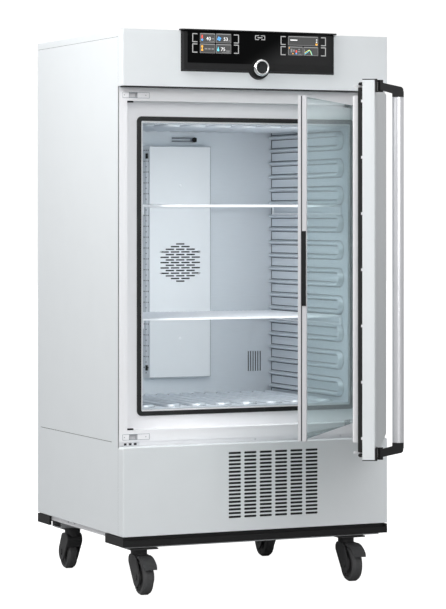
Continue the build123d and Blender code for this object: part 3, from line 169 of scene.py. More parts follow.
casing_paint = finish("casing_paint", (0.82, 0.85, 0.865), (0.79, 0.82, 0.835), 0.45, fineness=900.0,
                      relief=0.25)
frame_paint = finish("frame_paint", (0.96, 0.955, 0.975), (0.94, 0.935, 0.955), 0.4)
chamber_steel = finish("chamber_steel", (0.70, 0.745, 0.79), (0.66, 0.705, 0.75), 0.34, metallic=0.5,
                       spread=0.08, scale=30.0, stretch=(1, 1, 12), fineness=300.0, relief=0.06)
duct_steel = finish("duct_steel", (0.69, 0.725, 0.755), (0.665, 0.70, 0.73), 0.4, metallic=0.2, relief=0.04)
# rib_shade: painted shade, dark strips at the rib feet and in the chamber's back corners
rib_shade = finish("rib_shade", (0.075, 0.085, 0.095), (0.06, 0.07, 0.08), 0.5, metallic=0.3)
# painted shade: dark grey for thin lines along sheet edges, where shade falls
painted_edge_shade = finish("painted_edge_shade", (0.30, 0.33, 0.36), (0.26, 0.29, 0.32), 0.5, metallic=0.4)
shelf_steel = finish("shelf_steel", (0.88, 0.90, 0.93), (0.84, 0.86, 0.89), 0.3, metallic=0.55)
probe_steel = finish("probe_steel", (0.34, 0.36, 0.39), (0.26, 0.28, 0.31), 0.35, metallic=0.8)
zinc_steel = finish("zinc_steel", (0.60, 0.61, 0.62), (0.45, 0.46, 0.47), 0.45, metallic=0.9, scale=40.0)
rail_steel = finish("rail_steel", (0.88, 0.88, 0.90), (0.80, 0.80, 0.82), 0.4, metallic=0.4)
black_plastic = finish("black_plastic", (0.012, 0.012, 0.0125), (0.009, 0.009, 0.0095), 0.42, relief=0.1,
                       Specular_IOR_Level=0.25)
grey_plastic = finish("grey_plastic", (0.034, 0.034, 0.035), (0.026, 0.026, 0.027), 0.45, relief=0.15,
                      Specular_IOR_Level=0.3)
panel_plastic = finish("panel_plastic", (0.022, 0.022, 0.0225), (0.018, 0.018, 0.0185), 0.4, relief=0.05,
                       Specular_IOR_Level=0.12)
tread_rubber = finish("tread_rubber", (0.075, 0.075, 0.076), (0.06, 0.06, 0.061), 0.6, relief=0.2,
                      Specular_IOR_Level=0.3)
seal_rubber = finish("seal_rubber", (0.006, 0.006, 0.006), (0.004, 0.004, 0.004), 0.5, relief=0.1)
strip_rubber = finish("strip_rubber", (0.017, 0.017, 0.0175), (0.013, 0.013, 0.0135), 0.5, relief=0.1,
                      Specular_IOR_Level=0.2)
knob_face = finish("knob_face", (0.024, 0.025, 0.026), (0.02, 0.021, 0.022), 0.25, relief=0.0,
                   Specular_IOR_Level=0.2)
inner_foam = finish("inner_foam", (0.03, 0.03, 0.032), (0.022, 0.022, 0.024), 0.9, scale=60.0, relief=0.6)
tube_aluminium = finish("tube_aluminium", (0.83, 0.835, 0.86), (0.76, 0.765, 0.79), 0.34, metallic=0.9,
                        stretch=(14, 14, 1), fineness=200.0, relief=0.06)
bright_ring = finish("bright_ring", (0.92, 0.92, 0.92), (0.86, 0.86, 0.86), 0.12, metallic=1.0, relief=0.0)
white_plastic = finish("white_plastic", (0.82, 0.82, 0.84), (0.78, 0.78, 0.8), 0.45)
profile_aluminium = finish("profile_aluminium", (0.66, 0.66, 0.68), (0.63, 0.63, 0.65), 0.4, metallic=0.2)
dark_steel = finish("dark_steel", (0.03, 0.03, 0.031), (0.022, 0.022, 0.023), 0.5, metallic=0.3)
# painted shade: the dark of gaps, seams, notches, holes and grooves
painted_gap_shade = finish("painted_gap_shade", (0.02, 0.02, 0.022), (0.015, 0.015, 0.016), 0.7)

clear_glass = finish("clear_glass", (0.80, 0.92, 0.925), (0.79, 0.91, 0.915), 0.02, spread=0.01, relief=0.0,
                     Transmission_Weight=1.0, IOR=1.45)


def panel_glass_with_painted_reflection():
    """Near-black control glass with a painted reflection: a little lighter below and to the right of a
    slanting line.
    """
    material = finish("panel_glass", (0.0018, 0.002, 0.0022), (0.0015, 0.0017, 0.0018), 0.14, spread=0.03,
                      relief=0.0, Specular_IOR_Level=0.05)
    tree = material.node_tree
    across = (0.521, 0.0, -0.853)
    line_at, softness = -1.297, 0.075
    place = tree.nodes.new("ShaderNodeTexCoord")
    along = tree.nodes.new("ShaderNodeVectorMath")
    along.operation = "DOT_PRODUCT"
    along.inputs[1].default_value = across
    share = tree.nodes.new("ShaderNodeMapRange")
    share.interpolation_type = "SMOOTHSTEP"
    share.inputs["From Min"].default_value = line_at
    share.inputs["From Max"].default_value = line_at + softness
    mix = tree.nodes.new("ShaderNodeMix")
    mix.data_type = "RGBA"
    # painted reflection: lighter grey below and right of the slanting line
    mix.inputs["B"].default_value = (0.030, 0.030, 0.0305, 1)
    base = tree.nodes["Principled BSDF"].inputs["Base Color"]
    tree.links.new(base.links[0].from_socket, mix.inputs["A"])
    tree.links.new(place.outputs["Object"], along.inputs[0])
    tree.links.new(along.outputs["Value"], share.inputs["Value"])
    tree.links.new(share.outputs["Result"], mix.inputs["Factor"])
    tree.links.new(mix.outputs["Result"], base)
    return material


panel_glass = panel_glass_with_painted_reflection()

tile_grey = lit("tile_grey", (0.045, 0.045, 0.045), 0.8)
tile_light = lit("tile_light", (0.20, 0.20, 0.20), 0.8)
key_grey = lit("key_grey", (0.32, 0.32, 0.32), 0.9)
figure_white = lit("figure_white", (0.75, 0.75, 0.75), 1.0)
icon_red = lit("icon_red", (0.70, 0.08, 0.06), 0.9)
icon_blue = lit("icon_blue", (0.10, 0.34, 0.72), 0.9)
icon_cyan = lit("icon_cyan", (0.14, 0.60, 0.72), 0.9)
icon_amber = lit("icon_amber", (0.85, 0.40, 0.05), 0.9)
icon_yellow = lit("icon_yellow", (0.70, 0.65, 0.15), 0.9)


# Making pieces

def add_block(bm, x, depth, z):
    size = [high - low for low, high in (x, depth, z)]
    centre = [(high + low) / 2 for low, high in (x, depth, z)]
    bmesh.ops.create_cube(bm, size=1.0, matrix=Matrix.Translation(centre) @ Matrix.Diagonal((*size, 1)))


def add_rod(bm, start, end, radius, sides=24, tip=None):
    start, end = Vector(start), Vector(end)
    line = end - start
    turn = line.to_track_quat("Z", "Y").to_matrix().to_4x4()
    made = bmesh.ops.create_cone(
        bm, cap_ends=True, segments=sides, radius1=radius, radius2=radius if tip is None else tip,
        depth=line.length, matrix=Matrix.Translation((start + end) / 2) @ turn,
    )
    return made["verts"]


def add_turned(bm, profile, centre, axis, sides=48):
    """Spins a profile of (radius, along) points about an axis through centre."""
    turn = Vector(axis).to_track_quat("Z", "Y").to_matrix().to_4x4()
    place = Matrix.Translation(centre) @ turn
    points = [bm.verts.new(place @ Vector((radius, 0, along))) for radius, along in profile]
    edges = [bm.edges.new(pair) for pair in zip(points, points[1:])]
    bmesh.ops.spin(
        bm, geom=points + edges, cent=centre, axis=Vector(axis).normalized(), angle=math.tau, steps=sides,
        use_merge=True,
    )
    bmesh.ops.remove_doubles(bm, verts=bm.verts, dist=0.001)


def soften(bm, offset):
    """Rounds off every edge drawn so far."""
    bmesh.ops.bevel(
        bm, geom=list(bm.edges), offset=offset, segments=2, profile=0.5, affect="EDGES", material=-1,
        clamp_overlap=True,
    )


def make_piece(name, bm, body, material, swing=None, smooth=30.0):
    """Turns a bmesh into a piece that rides on a body; swing is where its door stands."""
    if swing is not None:
        bmesh.ops.transform(bm, matrix=swing, verts=bm.verts)
    bmesh.ops.transform(bm, matrix=TO_ROW, verts=bm.verts)
    bmesh.ops.recalc_face_normals(bm, faces=bm.faces)
    mesh = bpy.data.meshes.new(name)
    bm.to_mesh(mesh)
    bm.free()
    if smooth:
        mesh.shade_smooth()
        mesh.set_sharp_from_angle(angle=math.radians(smooth))
    piece = bpy.data.objects.new(name, mesh)
    bpy.context.scene.collection.objects.link(piece)
    for entry in material if isinstance(material, (list, tuple)) else [material]:
        mesh.materials.append(entry)
    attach(piece, body)
    return piece


def dress(material, *names):
    for name in names:
        slots = nodes[name].data.materials
        if len(slots):
            for index in range(len(slots)):
                slots[index] = material
        else:
            slots.append(material)


# CAD nodes that keep their shape

dress(casing_paint, "left_side_panel", "right_side_panel", "top_cover", "rear_panel", "lower_front_panel",
      "control_fascia", "door_skin")
dress(frame_paint, "frame_left_post", "frame_right_post", "frame_header", "frame_sill",
      "door_inner_panel", "strike_plates")
dress(chamber_steel, "liner_left_wall", "liner_right_wall", "liner_floor", "liner_ceiling",
      "liner_back_wall", "steam_generator")
dress(duct_steel, "air_duct_cover")
dress(shelf_steel, "upper_shelf", "lower_shelf")
dress(probe_steel, "sensor_probes")
dress(black_plastic, "recess_fittings", "handle_mounts", "handle_arms", "door_hinge_brackets", "plinth",
      "condenser_fan", "compressor", "mains_inlet", "glass_grip", "condenser")
dress(strip_rubber, "door_seal")
dress(seal_rubber, "chamber_gasket")
dress(white_plastic, "latch_fingers")
dress(profile_aluminium, "glass_fittings")
dress(clear_glass, "glass_pane")
dress(tube_aluminium, "handle_tube", "chamber_fan")
dress(panel_plastic, "cockpit_housing")
dress(panel_glass, "cockpit_glass")
dress(bright_ring, "control_knob")
dress(zinc_steel, "knob_shaft", "fan_motor", "control_electronics", "castor_beams")
dress(dark_steel, "castor_plates")
dress(rail_steel, "base_tray")
dress(inner_foam, "insulation_jacket")
for corner in ("front_left", "front_right", "rear_left", "rear_right"):
    dress(grey_plastic, "castor_fork_" + corner)
    dress(tread_rubber, "castor_wheel_" + corner)
    if corner.startswith("front"):
        dress(grey_plastic, "brake_pedal_" + corner)


# Control panel

PANEL_FACE = -11.9
PRINT_DEPTH = (PANEL_FACE - 0.15, PANEL_FACE + 0.1)
EDGE_DEPTH = (PANEL_FACE - 0.25, PANEL_FACE + 0.1)
RAISED = (PANEL_FACE - 0.35, PANEL_FACE + 0.1)
CAP_SHARE = 0.72
KNOB_CENTRE = (0, -15.5, 1464.7)
KNOB_RIM = (16.9, 9.8)


def panel_marks(name, material, rectangles, depth=PRINT_DEPTH):
    """Flat marks on the panel: (left, right, bottom, top) in millimetres."""
    bm = bmesh.new()
    for left, right, bottom, top in rectangles:
        add_block(bm, (left, right), depth, (bottom, top))
    return make_piece(name, bm, "cabinet", material, smooth=0)


def panel_figures(name, words, left, bottom, height, material):
    """Generic figures on a display tile, height being that of a digit."""
    curve = bpy.data.curves.new(name + "_outline", "FONT")
    curve.body = words
    curve.size = height / CAP_SHARE
    curve.extrude = 0.1
    maker = bpy.data.objects.new(name + "_outline", curve)
    bpy.context.scene.collection.objects.link(maker)
    bpy.context.view_layer.update()
    mesh = bpy.data.meshes.new_from_object(maker)
    bpy.data.objects.remove(maker)
    bm = bmesh.new()
    bm.from_mesh(mesh)
    bpy.data.meshes.remove(mesh)
    place = Matrix.Translation((left, RAISED[0], bottom)) @ Matrix.Rotation(math.radians(90), 4, "X")
    bmesh.ops.transform(bm, matrix=place, verts=bm.verts)
    return make_piece(name, bm, "cabinet", material, smooth=0)


def bracket(left, right, bottom, top, opens_right, stroke=2.4):
    """The three strokes of a square bracket key."""
    back = (left, left + stroke) if opens_right else (right - stroke, right)
    return [(*back, bottom, top), (left, right, top - stroke, top), (left, right, bottom, bottom + stroke)]


def key_brackets():
    """Eight bracket keys beside the displays and a pair of brackets with a bar between them."""
    marks = []
    width = 15.5
    for left, opens_right in ((-208.7, True), (-81.3, False), (64.5, True), (192.0, False)):
        for bottom, top in ((1531.4, 1556.2), (1502.4, 1527.6)):
            marks += bracket(left, left + width, bottom, top, opens_right)
    marks += bracket(-15.5, -3.5, 1543.0, 1556.0, True, 2.0)
    marks += bracket(3.5, 15.5, 1543.0, 1556.0, False, 2.0)
    marks.append((-7.5, 7.5, 1548.2, 1550.6))
    panel_marks("panel_keys", key_grey, marks)


def display_tiles():
    """Two displays: four tiles on the left, one wide and two small tiles on the right."""
    tiles = []
    for left in (-185.3, -136.2):
        for bottom in (1502.0, 1531.0):
            tiles.append((left, left + 46.2, bottom, bottom + 26.0))
    tiles += [(88.0, 182.6, 1531.0, 1557.0), (88.0, 133.6, 1503.0, 1527.6), (136.6, 182.6, 1503.0, 1527.6)]
    panel_marks("display_tiles", tile_grey, tiles)
    edges = []
    for left, right, bottom, top in tiles:
        edges += [(left, right, top - 2.6, top), (left, left + 1.4, bottom, top),
                  (left, right, bottom, bottom + 1.0), (right - 1.0, right, bottom, top)]
    panel_marks("display_edges", tile_light, edges, EDGE_DEPTH)


def display_icons():
    """Small warm and cold thermometers, a fan, a drop, clocks and short lines on the tiles."""
    panel_marks("icon_thermometer_warm", icon_red,
                [(-180.8, -176.6, 1542.3, 1552.2), (111.6, 115.6, 1510.0, 1517.5)], RAISED)
    bm = bmesh.new()
    for x, z, radius in ((-178.7, 1539.0, 3.2), (113.6, 1508.0, 2.4)):
        add_rod(bm, (x, RAISED[1], z), (x, RAISED[0], z), radius, 20)
    make_piece("icon_thermometer_cold", bm, "cabinet", icon_blue, smooth=0)
    bm = bmesh.new()
    for turn in range(4):
        angle = math.radians(90 * turn + 20)
        x, z = -126.8 + 3.6 * math.cos(angle), 1542.8 + 3.6 * math.sin(angle)
        add_rod(bm, (x, RAISED[1], z), (x, RAISED[0], z), 2.7, 16)
    make_piece("icon_fan", bm, "cabinet", icon_blue, smooth=0)
    bm = bmesh.new()
    add_rod(bm, (-129.5, RAISED[1], 1511.0), (-129.5, RAISED[0], 1511.0), 3.3, 20)
    middle = sum(RAISED) / 2
    drop = add_rod(bm, (-129.5, middle, 1511.5), (-129.5, middle, 1521.5), 3.1, 20, 0.1)
    there = Matrix.Translation((0, middle, 0))
    flatten = there @ Matrix.Diagonal((1, 0.07, 1, 1)) @ there.inverted()
    bmesh.ops.transform(bm, matrix=flatten, verts=drop)
    make_piece("icon_drop", bm, "cabinet", icon_cyan, smooth=0)
    panel_marks("icon_clock", icon_amber, [
        (-181.5, -176.0, 1518.0, 1523.0), (-181.5, -176.0, 1508.0, 1512.5), (-180.0, -177.5, 1512.5, 1518.0),
        (174.6, 180.6, 1532.6, 1537.6), (101.0, 104.6, 1506.0, 1509.0), (90.6, 92.6, 1521.0, 1525.0),
    ], RAISED)
    panel_marks("display_small_print", tile_light, [
        (-150.0, -142.0, 1541.0, 1543.5), (-158.0, -150.0, 1534.5, 1536.0), (-148.0, -142.0, 1534.5, 1536.0),
        (-98.0, -93.0, 1536.5, 1539.0), (-171.0, -163.0, 1512.0, 1515.5), (-160.0, -153.0, 1512.0, 1515.5),
        (-150.0, -143.0, 1512.0, 1515.5), (-106.0, -94.0, 1508.0, 1510.5), (-118.0, -94.0, 1504.4, 1505.6),
        (96.0, 101.0, 1511.0, 1521.0), (103.5, 108.5, 1513.0, 1519.0), (118.0, 126.0, 1512.0, 1515.0),
        (120.0, 130.0, 1505.6, 1507.4), (120.0, 125.0, 1518.0, 1521.5), (138.6, 140.4, 1506.0, 1520.0),
    ], RAISED)
    panel_marks("display_text_line", figure_white, [
        (94.6, 117.0, 1544.4, 1547.2), (176.0, 179.6, 1540.0, 1543.4), (176.0, 179.6, 1547.0, 1549.6),
    ], RAISED)
    for name, words, left, bottom in (
        ("figure_warmth", "40", -166.3, 1537.6), ("figure_fan", "53", -113.4, 1537.4),
        ("figure_moisture", "75", -121.6, 1509.0),
    ):
        panel_figures(name, words, left, bottom, 10.0, figure_white)


def graph_line(name, material, points, width=1.6):
    """A broken line on a display tile."""
    bm = bmesh.new()
    for start, end in zip(points, points[1:]):
        length = math.dist(start, end)
        angle = math.atan2(end[1] - start[1], end[0] - start[0])
        centre = ((start[0] + end[0]) / 2, sum(RAISED) / 2, (start[1] + end[1]) / 2)
        place = Matrix.Translation(centre) @ Matrix.Rotation(-angle, 4, "Y")
        bmesh.ops.create_cube(bm, size=1.0, matrix=place @ Matrix.Diagonal((length + width, 0.4, width, 1)))
    make_piece(name, bm, "cabinet", material, smooth=0)


def standby_symbols():
    """Three small signs below the left display: bars, a ring and a triangle."""
    depth = (-10.6, -9.4)
    bm = bmesh.new()
    for x in (-204.2, -201.2):
        add_block(bm, (x - 0.7, x + 0.7), depth, (1459.8, 1464.4))
    ring = [(2.4, -0.3), (3.6, -0.3), (3.6, 0.3), (2.4, 0.3), (2.4, -0.3)]
    add_turned(bm, ring, (-188.7, -10.2, 1462.1), (0, 1, 0), 24)
    add_block(bm, (-179.9, -174.3), depth, (1459.4, 1461.0))
    x, z = -177.1, 1463.4
    mark = add_rod(bm, (x, depth[0], z), (x, depth[1], z), 3.0, 3)
    bmesh.ops.rotate(bm, verts=mark, cent=(x, 0, z), matrix=Matrix.Rotation(math.radians(-90), 3, "Y"))
    make_piece("standby_symbols", bm, "cabinet", key_grey, smooth=0)


def turning_knob():
    """Bright ring with a dark, slightly dished face."""
    bm = bmesh.new()
    ring = [(4.3, 0.0), (22.5, 0.0), (23.6, 0.8), (24.0, 2.4), (23.8, 7.0), (22.6, 9.8), (20.6, 11.4),
            (18.6, 11.8), (17.4, 11.2), KNOB_RIM]
    add_turned(bm, ring, KNOB_CENTRE, (0, -1, 0), 64)
    face_start = len(bm.faces)
    dish = [KNOB_RIM, (16.4, 10.4), (14.0, 10.1), (8.0, 9.6), (0.001, 9.4)]
    add_turned(bm, dish, KNOB_CENTRE, (0, -1, 0), 64)
    bm.faces.ensure_lookup_table()
    for face in bm.faces[face_start:]:
        face.material_index = 1
    piece = make_piece("turning_knob", bm, "knob", [bright_ring, knob_face], smooth=40)
    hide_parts("control_knob")


key_brackets()
display_tiles()
display_icons()
graph_line("graph_warm", icon_yellow, [(141.0, 1511.0), (150.0, 1517.0), (155.0, 1519.0), (158.0, 1516.0),
                                       (162.0, 1506.0)])
graph_line("graph_moist", icon_cyan, [(141.0, 1507.0), (149.0, 1512.5), (156.0, 1518.0), (160.0, 1514.0),
                                      (163.5, 1505.0)])
standby_symbols()
turning_knob()


# Chamber and door frame details

CHAMBER_HALF = 320.0
CHAMBER_FLOOR, CHAMBER_CEILING = 507.5, 1307.5
CHAMBER_MIDDLE = (CHAMBER_FLOOR + CHAMBER_CEILING) / 2
RIB_PITCH = 40.0
RIB_HALF = 6.5
RIB_REAR = 574.0
RIB_LINE_LIFT = 0.4
WALL_LOOPS, FLAT_LOOPS = 10, 8
WALL_REACH, FLAT_REACH = 441.5, 415.5
DUCT_HALF = 100.0
DUCT_FACE = (547.6, 548.2)
STRIKE_X = -367.0
STRIKE_FACE = 34.93
LATCH_HEIGHTS = (1382.8, 434.6)
CASING_SIDE = 411.7

def screw_heads(name, spots, radius, material):
    """Low domed heads that face the front; a drive recess would not show at this size."""
    dome = [(0.001, 1.4), (radius * 0.6, 1.2), (radius * 0.92, 0.6), (radius, 0.0), (0.001, -0.2)]
    bm = bmesh.new()
    for spot in spots:
        add_turned(bm, dome, spot, (0, -1, 0), 20)
    make_piece(name, bm, "cabinet", material, smooth=50)


def light_bracket():
    """Small bracket near the top of the recess on the hinge side."""
    bm = bmesh.new()
    add_block(bm, (298, 312), (52, 66), (1358, 1367))
    soften(bm, 1.5)
    make_piece("recess_light_bracket", bm, "cabinet", white_plastic)


def notched_plate():
    """Plate at the left end of the channel below the door, with three notches drawn as dark strips of
    painted shade.
    """
    bm = bmesh.new()
    add_block(bm, (-398, -345), (42.6, 44.2), (409.5, 420.5))
    soften(bm, 0.5)
    make_piece("channel_plate", bm, "cabinet", rail_steel)
    bm = bmesh.new()
    for x in (-392, -377, -362):
        add_block(bm, (x, x + 8), (42.2, 42.9), (411.5, 417.5))
    make_piece("channel_notch_shade", bm, "cabinet", painted_gap_shade, smooth=0)


def duct_side_hole_shade():
    """Rows of one and three holes in the sloping side of the air duct cover, drawn as dark discs of painted
    shade.
    """
    top, bottom, pitch = 1245.0, 575.0, 16.3
    slope_x, slope_depth = 11.0, 29.7
    bm = bmesh.new()
    for row in range(math.ceil((top - bottom) / pitch)):
        z = top - row * pitch
        for share in (0.5,) if row % 2 else (0.22, 0.5, 0.78):
            x, depth = -DUCT_HALF - slope_x * share, 548.0 + slope_depth * share
            add_rod(bm, (x - 0.35, depth - 0.13, z), (x + 0.1, depth + 0.05, z), 1.9, 10)
    make_piece("duct_side_hole_shade", bm, "cabinet", painted_gap_shade, smooth=0)


def rib_outline(bm, radius, width, reach, place):
    """Flat strip along one foot of a U-shaped rib: out, round its front end and back."""
    turns = 14
    chains = []
    for r in (radius, radius + width):
        points = [(0.0, r)]
        points += [(reach + r * math.sin(math.pi * n / turns), r * math.cos(math.pi * n / turns))
                   for n in range(turns + 1)]
        points.append((0.0, -r))
        verts = [bm.verts.new(place @ Vector((0, -out, up))) for out, up in points]
        chains.append([bm.edges.new(pair) for pair in zip(verts, verts[1:])])
    strip = bmesh.ops.bridge_loops(bm, edges=chains[0] + chains[1])["faces"]
    solid = bmesh.ops.extrude_face_region(bm, geom=strip)
    lift = place.to_3x3() @ Vector((RIB_LINE_LIFT, 0, 0))
    bmesh.ops.translate(bm, verts=[v for v in solid["geom"] if isinstance(v, bmesh.types.BMVert)], vec=lift)


def rib_shade_lines():
    """Painted shade: thin dark strips at the feet of the pressed ribs, where shade falls."""
    outer, inner = RIB_PITCH / 2 + RIB_HALF, RIB_PITCH / 2 - RIB_HALF
    mirrored = Matrix.Rotation(math.pi, 4, "Z") @ Matrix.Diagonal((1, -1, 1, 1))
    bm = bmesh.new()
    for side, facing in ((-1, Matrix.Identity(4)), (1, mirrored)):
        for loop in range(WALL_LOOPS):
            z = CHAMBER_MIDDLE + (loop - (WALL_LOOPS - 1) / 2) * 2 * RIB_PITCH
            place = Matrix.Translation((side * CHAMBER_HALF, RIB_REAR, z)) @ facing
            for radius in (outer - 0.4, inner - 2.2):
                rib_outline(bm, radius, 2.6, WALL_REACH, place)
    make_piece("side_rib_shade_strips", bm, "cabinet", rib_shade, smooth=0)
    bm = bmesh.new()
    for z, turn in ((CHAMBER_FLOOR, -90), (CHAMBER_CEILING, 90)):
        for loop in range(FLAT_LOOPS):
            x = (loop - (FLAT_LOOPS - 1) / 2) * 2 * RIB_PITCH
            place = Matrix.Translation((x, RIB_REAR, z)) @ Matrix.Rotation(math.radians(turn), 4, "Y")
            for radius in (outer - 0.2, inner - 1.4):
                rib_outline(bm, radius, 1.6, FLAT_REACH, place)
    make_piece("flat_rib_shade_strips", bm, "cabinet", rib_shade, smooth=0)


def duct_trim():
    """Painted shade along the air duct cover's edges, a dark disc of painted shade behind its slots, and
    plugs and rod on its side.
    """
    low, high = 561.5, 1257.5
    bm = bmesh.new()
    add_block(bm, (DUCT_HALF - 1.4, DUCT_HALF), DUCT_FACE, (low, high))
    add_block(bm, (-DUCT_HALF, DUCT_HALF), DUCT_FACE, (high - 1.3, high))
    add_block(bm, (-DUCT_HALF, DUCT_HALF), DUCT_FACE, (low, low + 1.1))
    make_piece("duct_cover_edge_shade", bm, "cabinet", painted_edge_shade, smooth=0)
    bm = bmesh.new()
    add_rod(bm, (0, 549.6, CHAMBER_MIDDLE), (0, 550.4, CHAMBER_MIDDLE), 68.0, 48)
    make_piece("duct_slot_shade", bm, "cabinet", painted_gap_shade, smooth=0)
    bm = bmesh.new()
    for z in (1228.0, 592.0):
        add_block(bm, (-109.0, -103.5), (553.0, 562.0), (z - 8, z + 8))
    soften(bm, 1.2)
    make_piece("duct_side_plugs", bm, "cabinet", black_plastic)
    bm = bmesh.new()
    add_rod(bm, (-105.8, 556.5, 600.0), (-105.8, 556.5, 1220.0), 1.3, 12)
    make_piece("duct_side_rod", bm, "cabinet", shelf_steel)
    bm = bmesh.new()
    add_rod(bm, (54.0, 564.2, 1278.5), (54.0, 565.4, 1278.5), 7.6, 28)
    make_piece("sensor_bush_cap", bm, "cabinet", black_plastic)


def corner_seams():
    """Painted shade: thin dark strips in the corners round the chamber's back wall."""
    depth = (577.2, 577.9)
    bm = bmesh.new()
    for z in (CHAMBER_FLOOR + 1.0, CHAMBER_CEILING - 2.0):
        add_block(bm, (-CHAMBER_HALF, CHAMBER_HALF), depth, (z, z + 1.0))
    for side in (-1, 1):
        edge = sorted((side * CHAMBER_HALF, side * (CHAMBER_HALF - 1.4)))
        add_block(bm, edge, depth, (CHAMBER_FLOOR, CHAMBER_CEILING))
    make_piece("liner_corner_shade", bm, "cabinet", rib_shade, smooth=0)


def strike_cups():
    """Light sheet cups behind the strike plates, where the latch fingers enter, with screws, and thin lines
    of painted shade round the plates and pockets.
    """
    half_x, half_z, wall = 11.9, 6.45, 0.3
    front, back = 36.1, 50.0
    bm = bmesh.new()
    for z in LATCH_HEIGHTS:
        for side in (-1, 1):
            x = sorted((STRIKE_X + side * half_x, STRIKE_X + side * (half_x - wall)))
            add_block(bm, x, (front, back), (z - half_z, z + half_z))
            edge = sorted((z + side * half_z, z + side * (half_z - wall)))
            add_block(bm, (STRIKE_X - half_x, STRIKE_X + half_x), (front, back), edge)
        add_block(bm, (STRIKE_X - half_x, STRIKE_X + half_x), (back, back + wall), (z - half_z, z + half_z))
    make_piece("strike_cups", bm, "cabinet", white_plastic, smooth=0)
    bm = bmesh.new()
    for z in LATCH_HEIGHTS:
        for x in (STRIKE_X - 26.0, STRIKE_X + 38.0):
            add_rod(bm, (x, 35.3, z), (x, STRIKE_FACE, z), 1.6, 16)
    make_piece("strike_screws", bm, "cabinet", zinc_steel)
    # painted shade: dark outlines round the strike plates and their pockets
    bm = bmesh.new()
    line = 0.9
    for z in LATCH_HEIGHTS:
        for reach_left, reach_right, half in ((32.0, 49.0, 8.2), (12.4, 12.4, 7.4)):
            left, right = STRIKE_X - reach_left, STRIKE_X + reach_right
            for x in ((left, left + line), (right - line, right)):
                add_block(bm, x, (STRIKE_FACE, STRIKE_FACE + 0.5), (z - half, z + half))
            for low in (z - half, z + half - line):
                add_block(bm, (left, right), (STRIKE_FACE, STRIKE_FACE + 0.5), (low, low + line))
    make_piece("strike_plate_edge_shade", bm, "cabinet", painted_edge_shade, smooth=0)


def casing_seam_shade():
    """Painted shade: dark strips in the seams between the casing's sheets and in the side panels' grooves.
    """
    bm = bmesh.new()
    add_block(bm, (-408.0, 372.0), (1.2, 30.0), (1403.6, 1406.9))
    for side in (-1, 1):
        face = sorted((side * CASING_SIDE, side * (CASING_SIDE - 1.2)))
        add_block(bm, face, (35.5, 37.0), (163.5, 1543.4))
        add_block(bm, face, (36.0, 668.0), (1543.0, 1544.2))
        groove = sorted((side * (CASING_SIDE - 0.7), side * (CASING_SIDE - 1.1)))
        add_block(bm, groove, (82.2, 645.8), (418.1, 419.5))
    make_piece("casing_seam_shade", bm, "cabinet", painted_gap_shade, smooth=0)


def grille_shade_sheet():
    """Dark sheet right behind the ventilation grille: painted shade of the compartment behind it."""
    bm = bmesh.new()
    add_block(bm, (-112.0, 208.0), (2.7, 5.0), (188.0, 397.0))
    make_piece("grille_shade_sheet", bm, "cabinet", painted_gap_shade, smooth=0)


def floor_studs():
    """Two short studs in the chamber floor near its back left corner."""
    bm = bmesh.new()
    for x, depth in ((-183.0, 500.0), (-172.0, 522.0)):
        add_rod(bm, (x, depth, 507.4), (x, depth, 509.6), 4.0, 20)
    make_piece("floor_studs", bm, "cabinet", shelf_steel)


screw_heads("duct_screws", [(0, 548.0, 1139.4), (0, 548.0, 678.9)], 4.5, shelf_steel)
screw_heads("channel_screws", [(12.0, 44.0, 415.0), (283.0, 44.0, 415.0)], 3.0, white_plastic)
light_bracket()
notched_plate()
duct_side_hole_shade()
floor_studs()
rib_shade_lines()
duct_trim()
corner_seams()
strike_cups()
casing_seam_shade()
grille_shade_sheet()


# Outer door details

def door_end_caps():
    """Thin dark caps over the top and bottom corners at the closing edge."""
    bm = bmesh.new()
    for z in ((1397.8, 1400.2), (417.2, 419.6)):
        add_block(bm, (-406.2, -376.0), (-14.9, 23.5), z)
    make_piece("door_end_caps", bm, "outer_door", black_plastic, swing=DOOR_OPEN)


def seal_clips():
    """Small clips along the closing edge of the door's seal."""
    bm = bmesh.new()
    for step in range(7):
        z = 1343.6 - 144.9 * step
        add_block(bm, (-399.0, -397.4), (23.4, 26.8), (z - 3.5, z + 3.5))
    make_piece("seal_clips", bm, "outer_door", white_plastic, swing=DOOR_OPEN)


def edge_lines():
    """Fine outline of the latch housings in the door's closing edge."""
    bm = bmesh.new()
    for z in (1388.6, 428.8):
        add_block(bm, (-406.15, -405.5), (-4, 18), (z - 0.5, z + 0.5))
    make_piece("latch_housing_lines", bm, "outer_door", rail_steel, swing=DOOR_OPEN)


def pull_tube():
    """Handle tube with rounded ends, in place of the plainer tube of the frame."""
    low, high, inner, outer, round_off = 463.3, 1354.1, 13.2, 14.8, 0.6
    bm = bmesh.new()
    profile = [(inner, low), (outer - round_off, low), (outer, low + round_off), (outer, high - round_off),
               (outer - round_off, high), (inner, high), (inner, low)]
    add_turned(bm, profile, (-386.0, -68.0, 0), (0, 0, 1), 64)
    piece = make_piece("pull_tube", bm, "handle", tube_aluminium, swing=DOOR_OPEN)
    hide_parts("handle_tube")


def glass_edge_groove_shade():
    """Painted shade: a dark strip for the groove along the upright profile of the glass door."""
    bm = bmesh.new()
    add_block(bm, (-378.0, -377.4), (62.4, 65.5), (458, 1362))
    make_piece("glass_edge_groove_shade", bm, "glass_door", painted_gap_shade, swing=GLASS_OPEN, smooth=0)


door_end_caps()
seal_clips()
edge_lines()
pull_tube()
glass_edge_groove_shade()


# Stage, light and camera

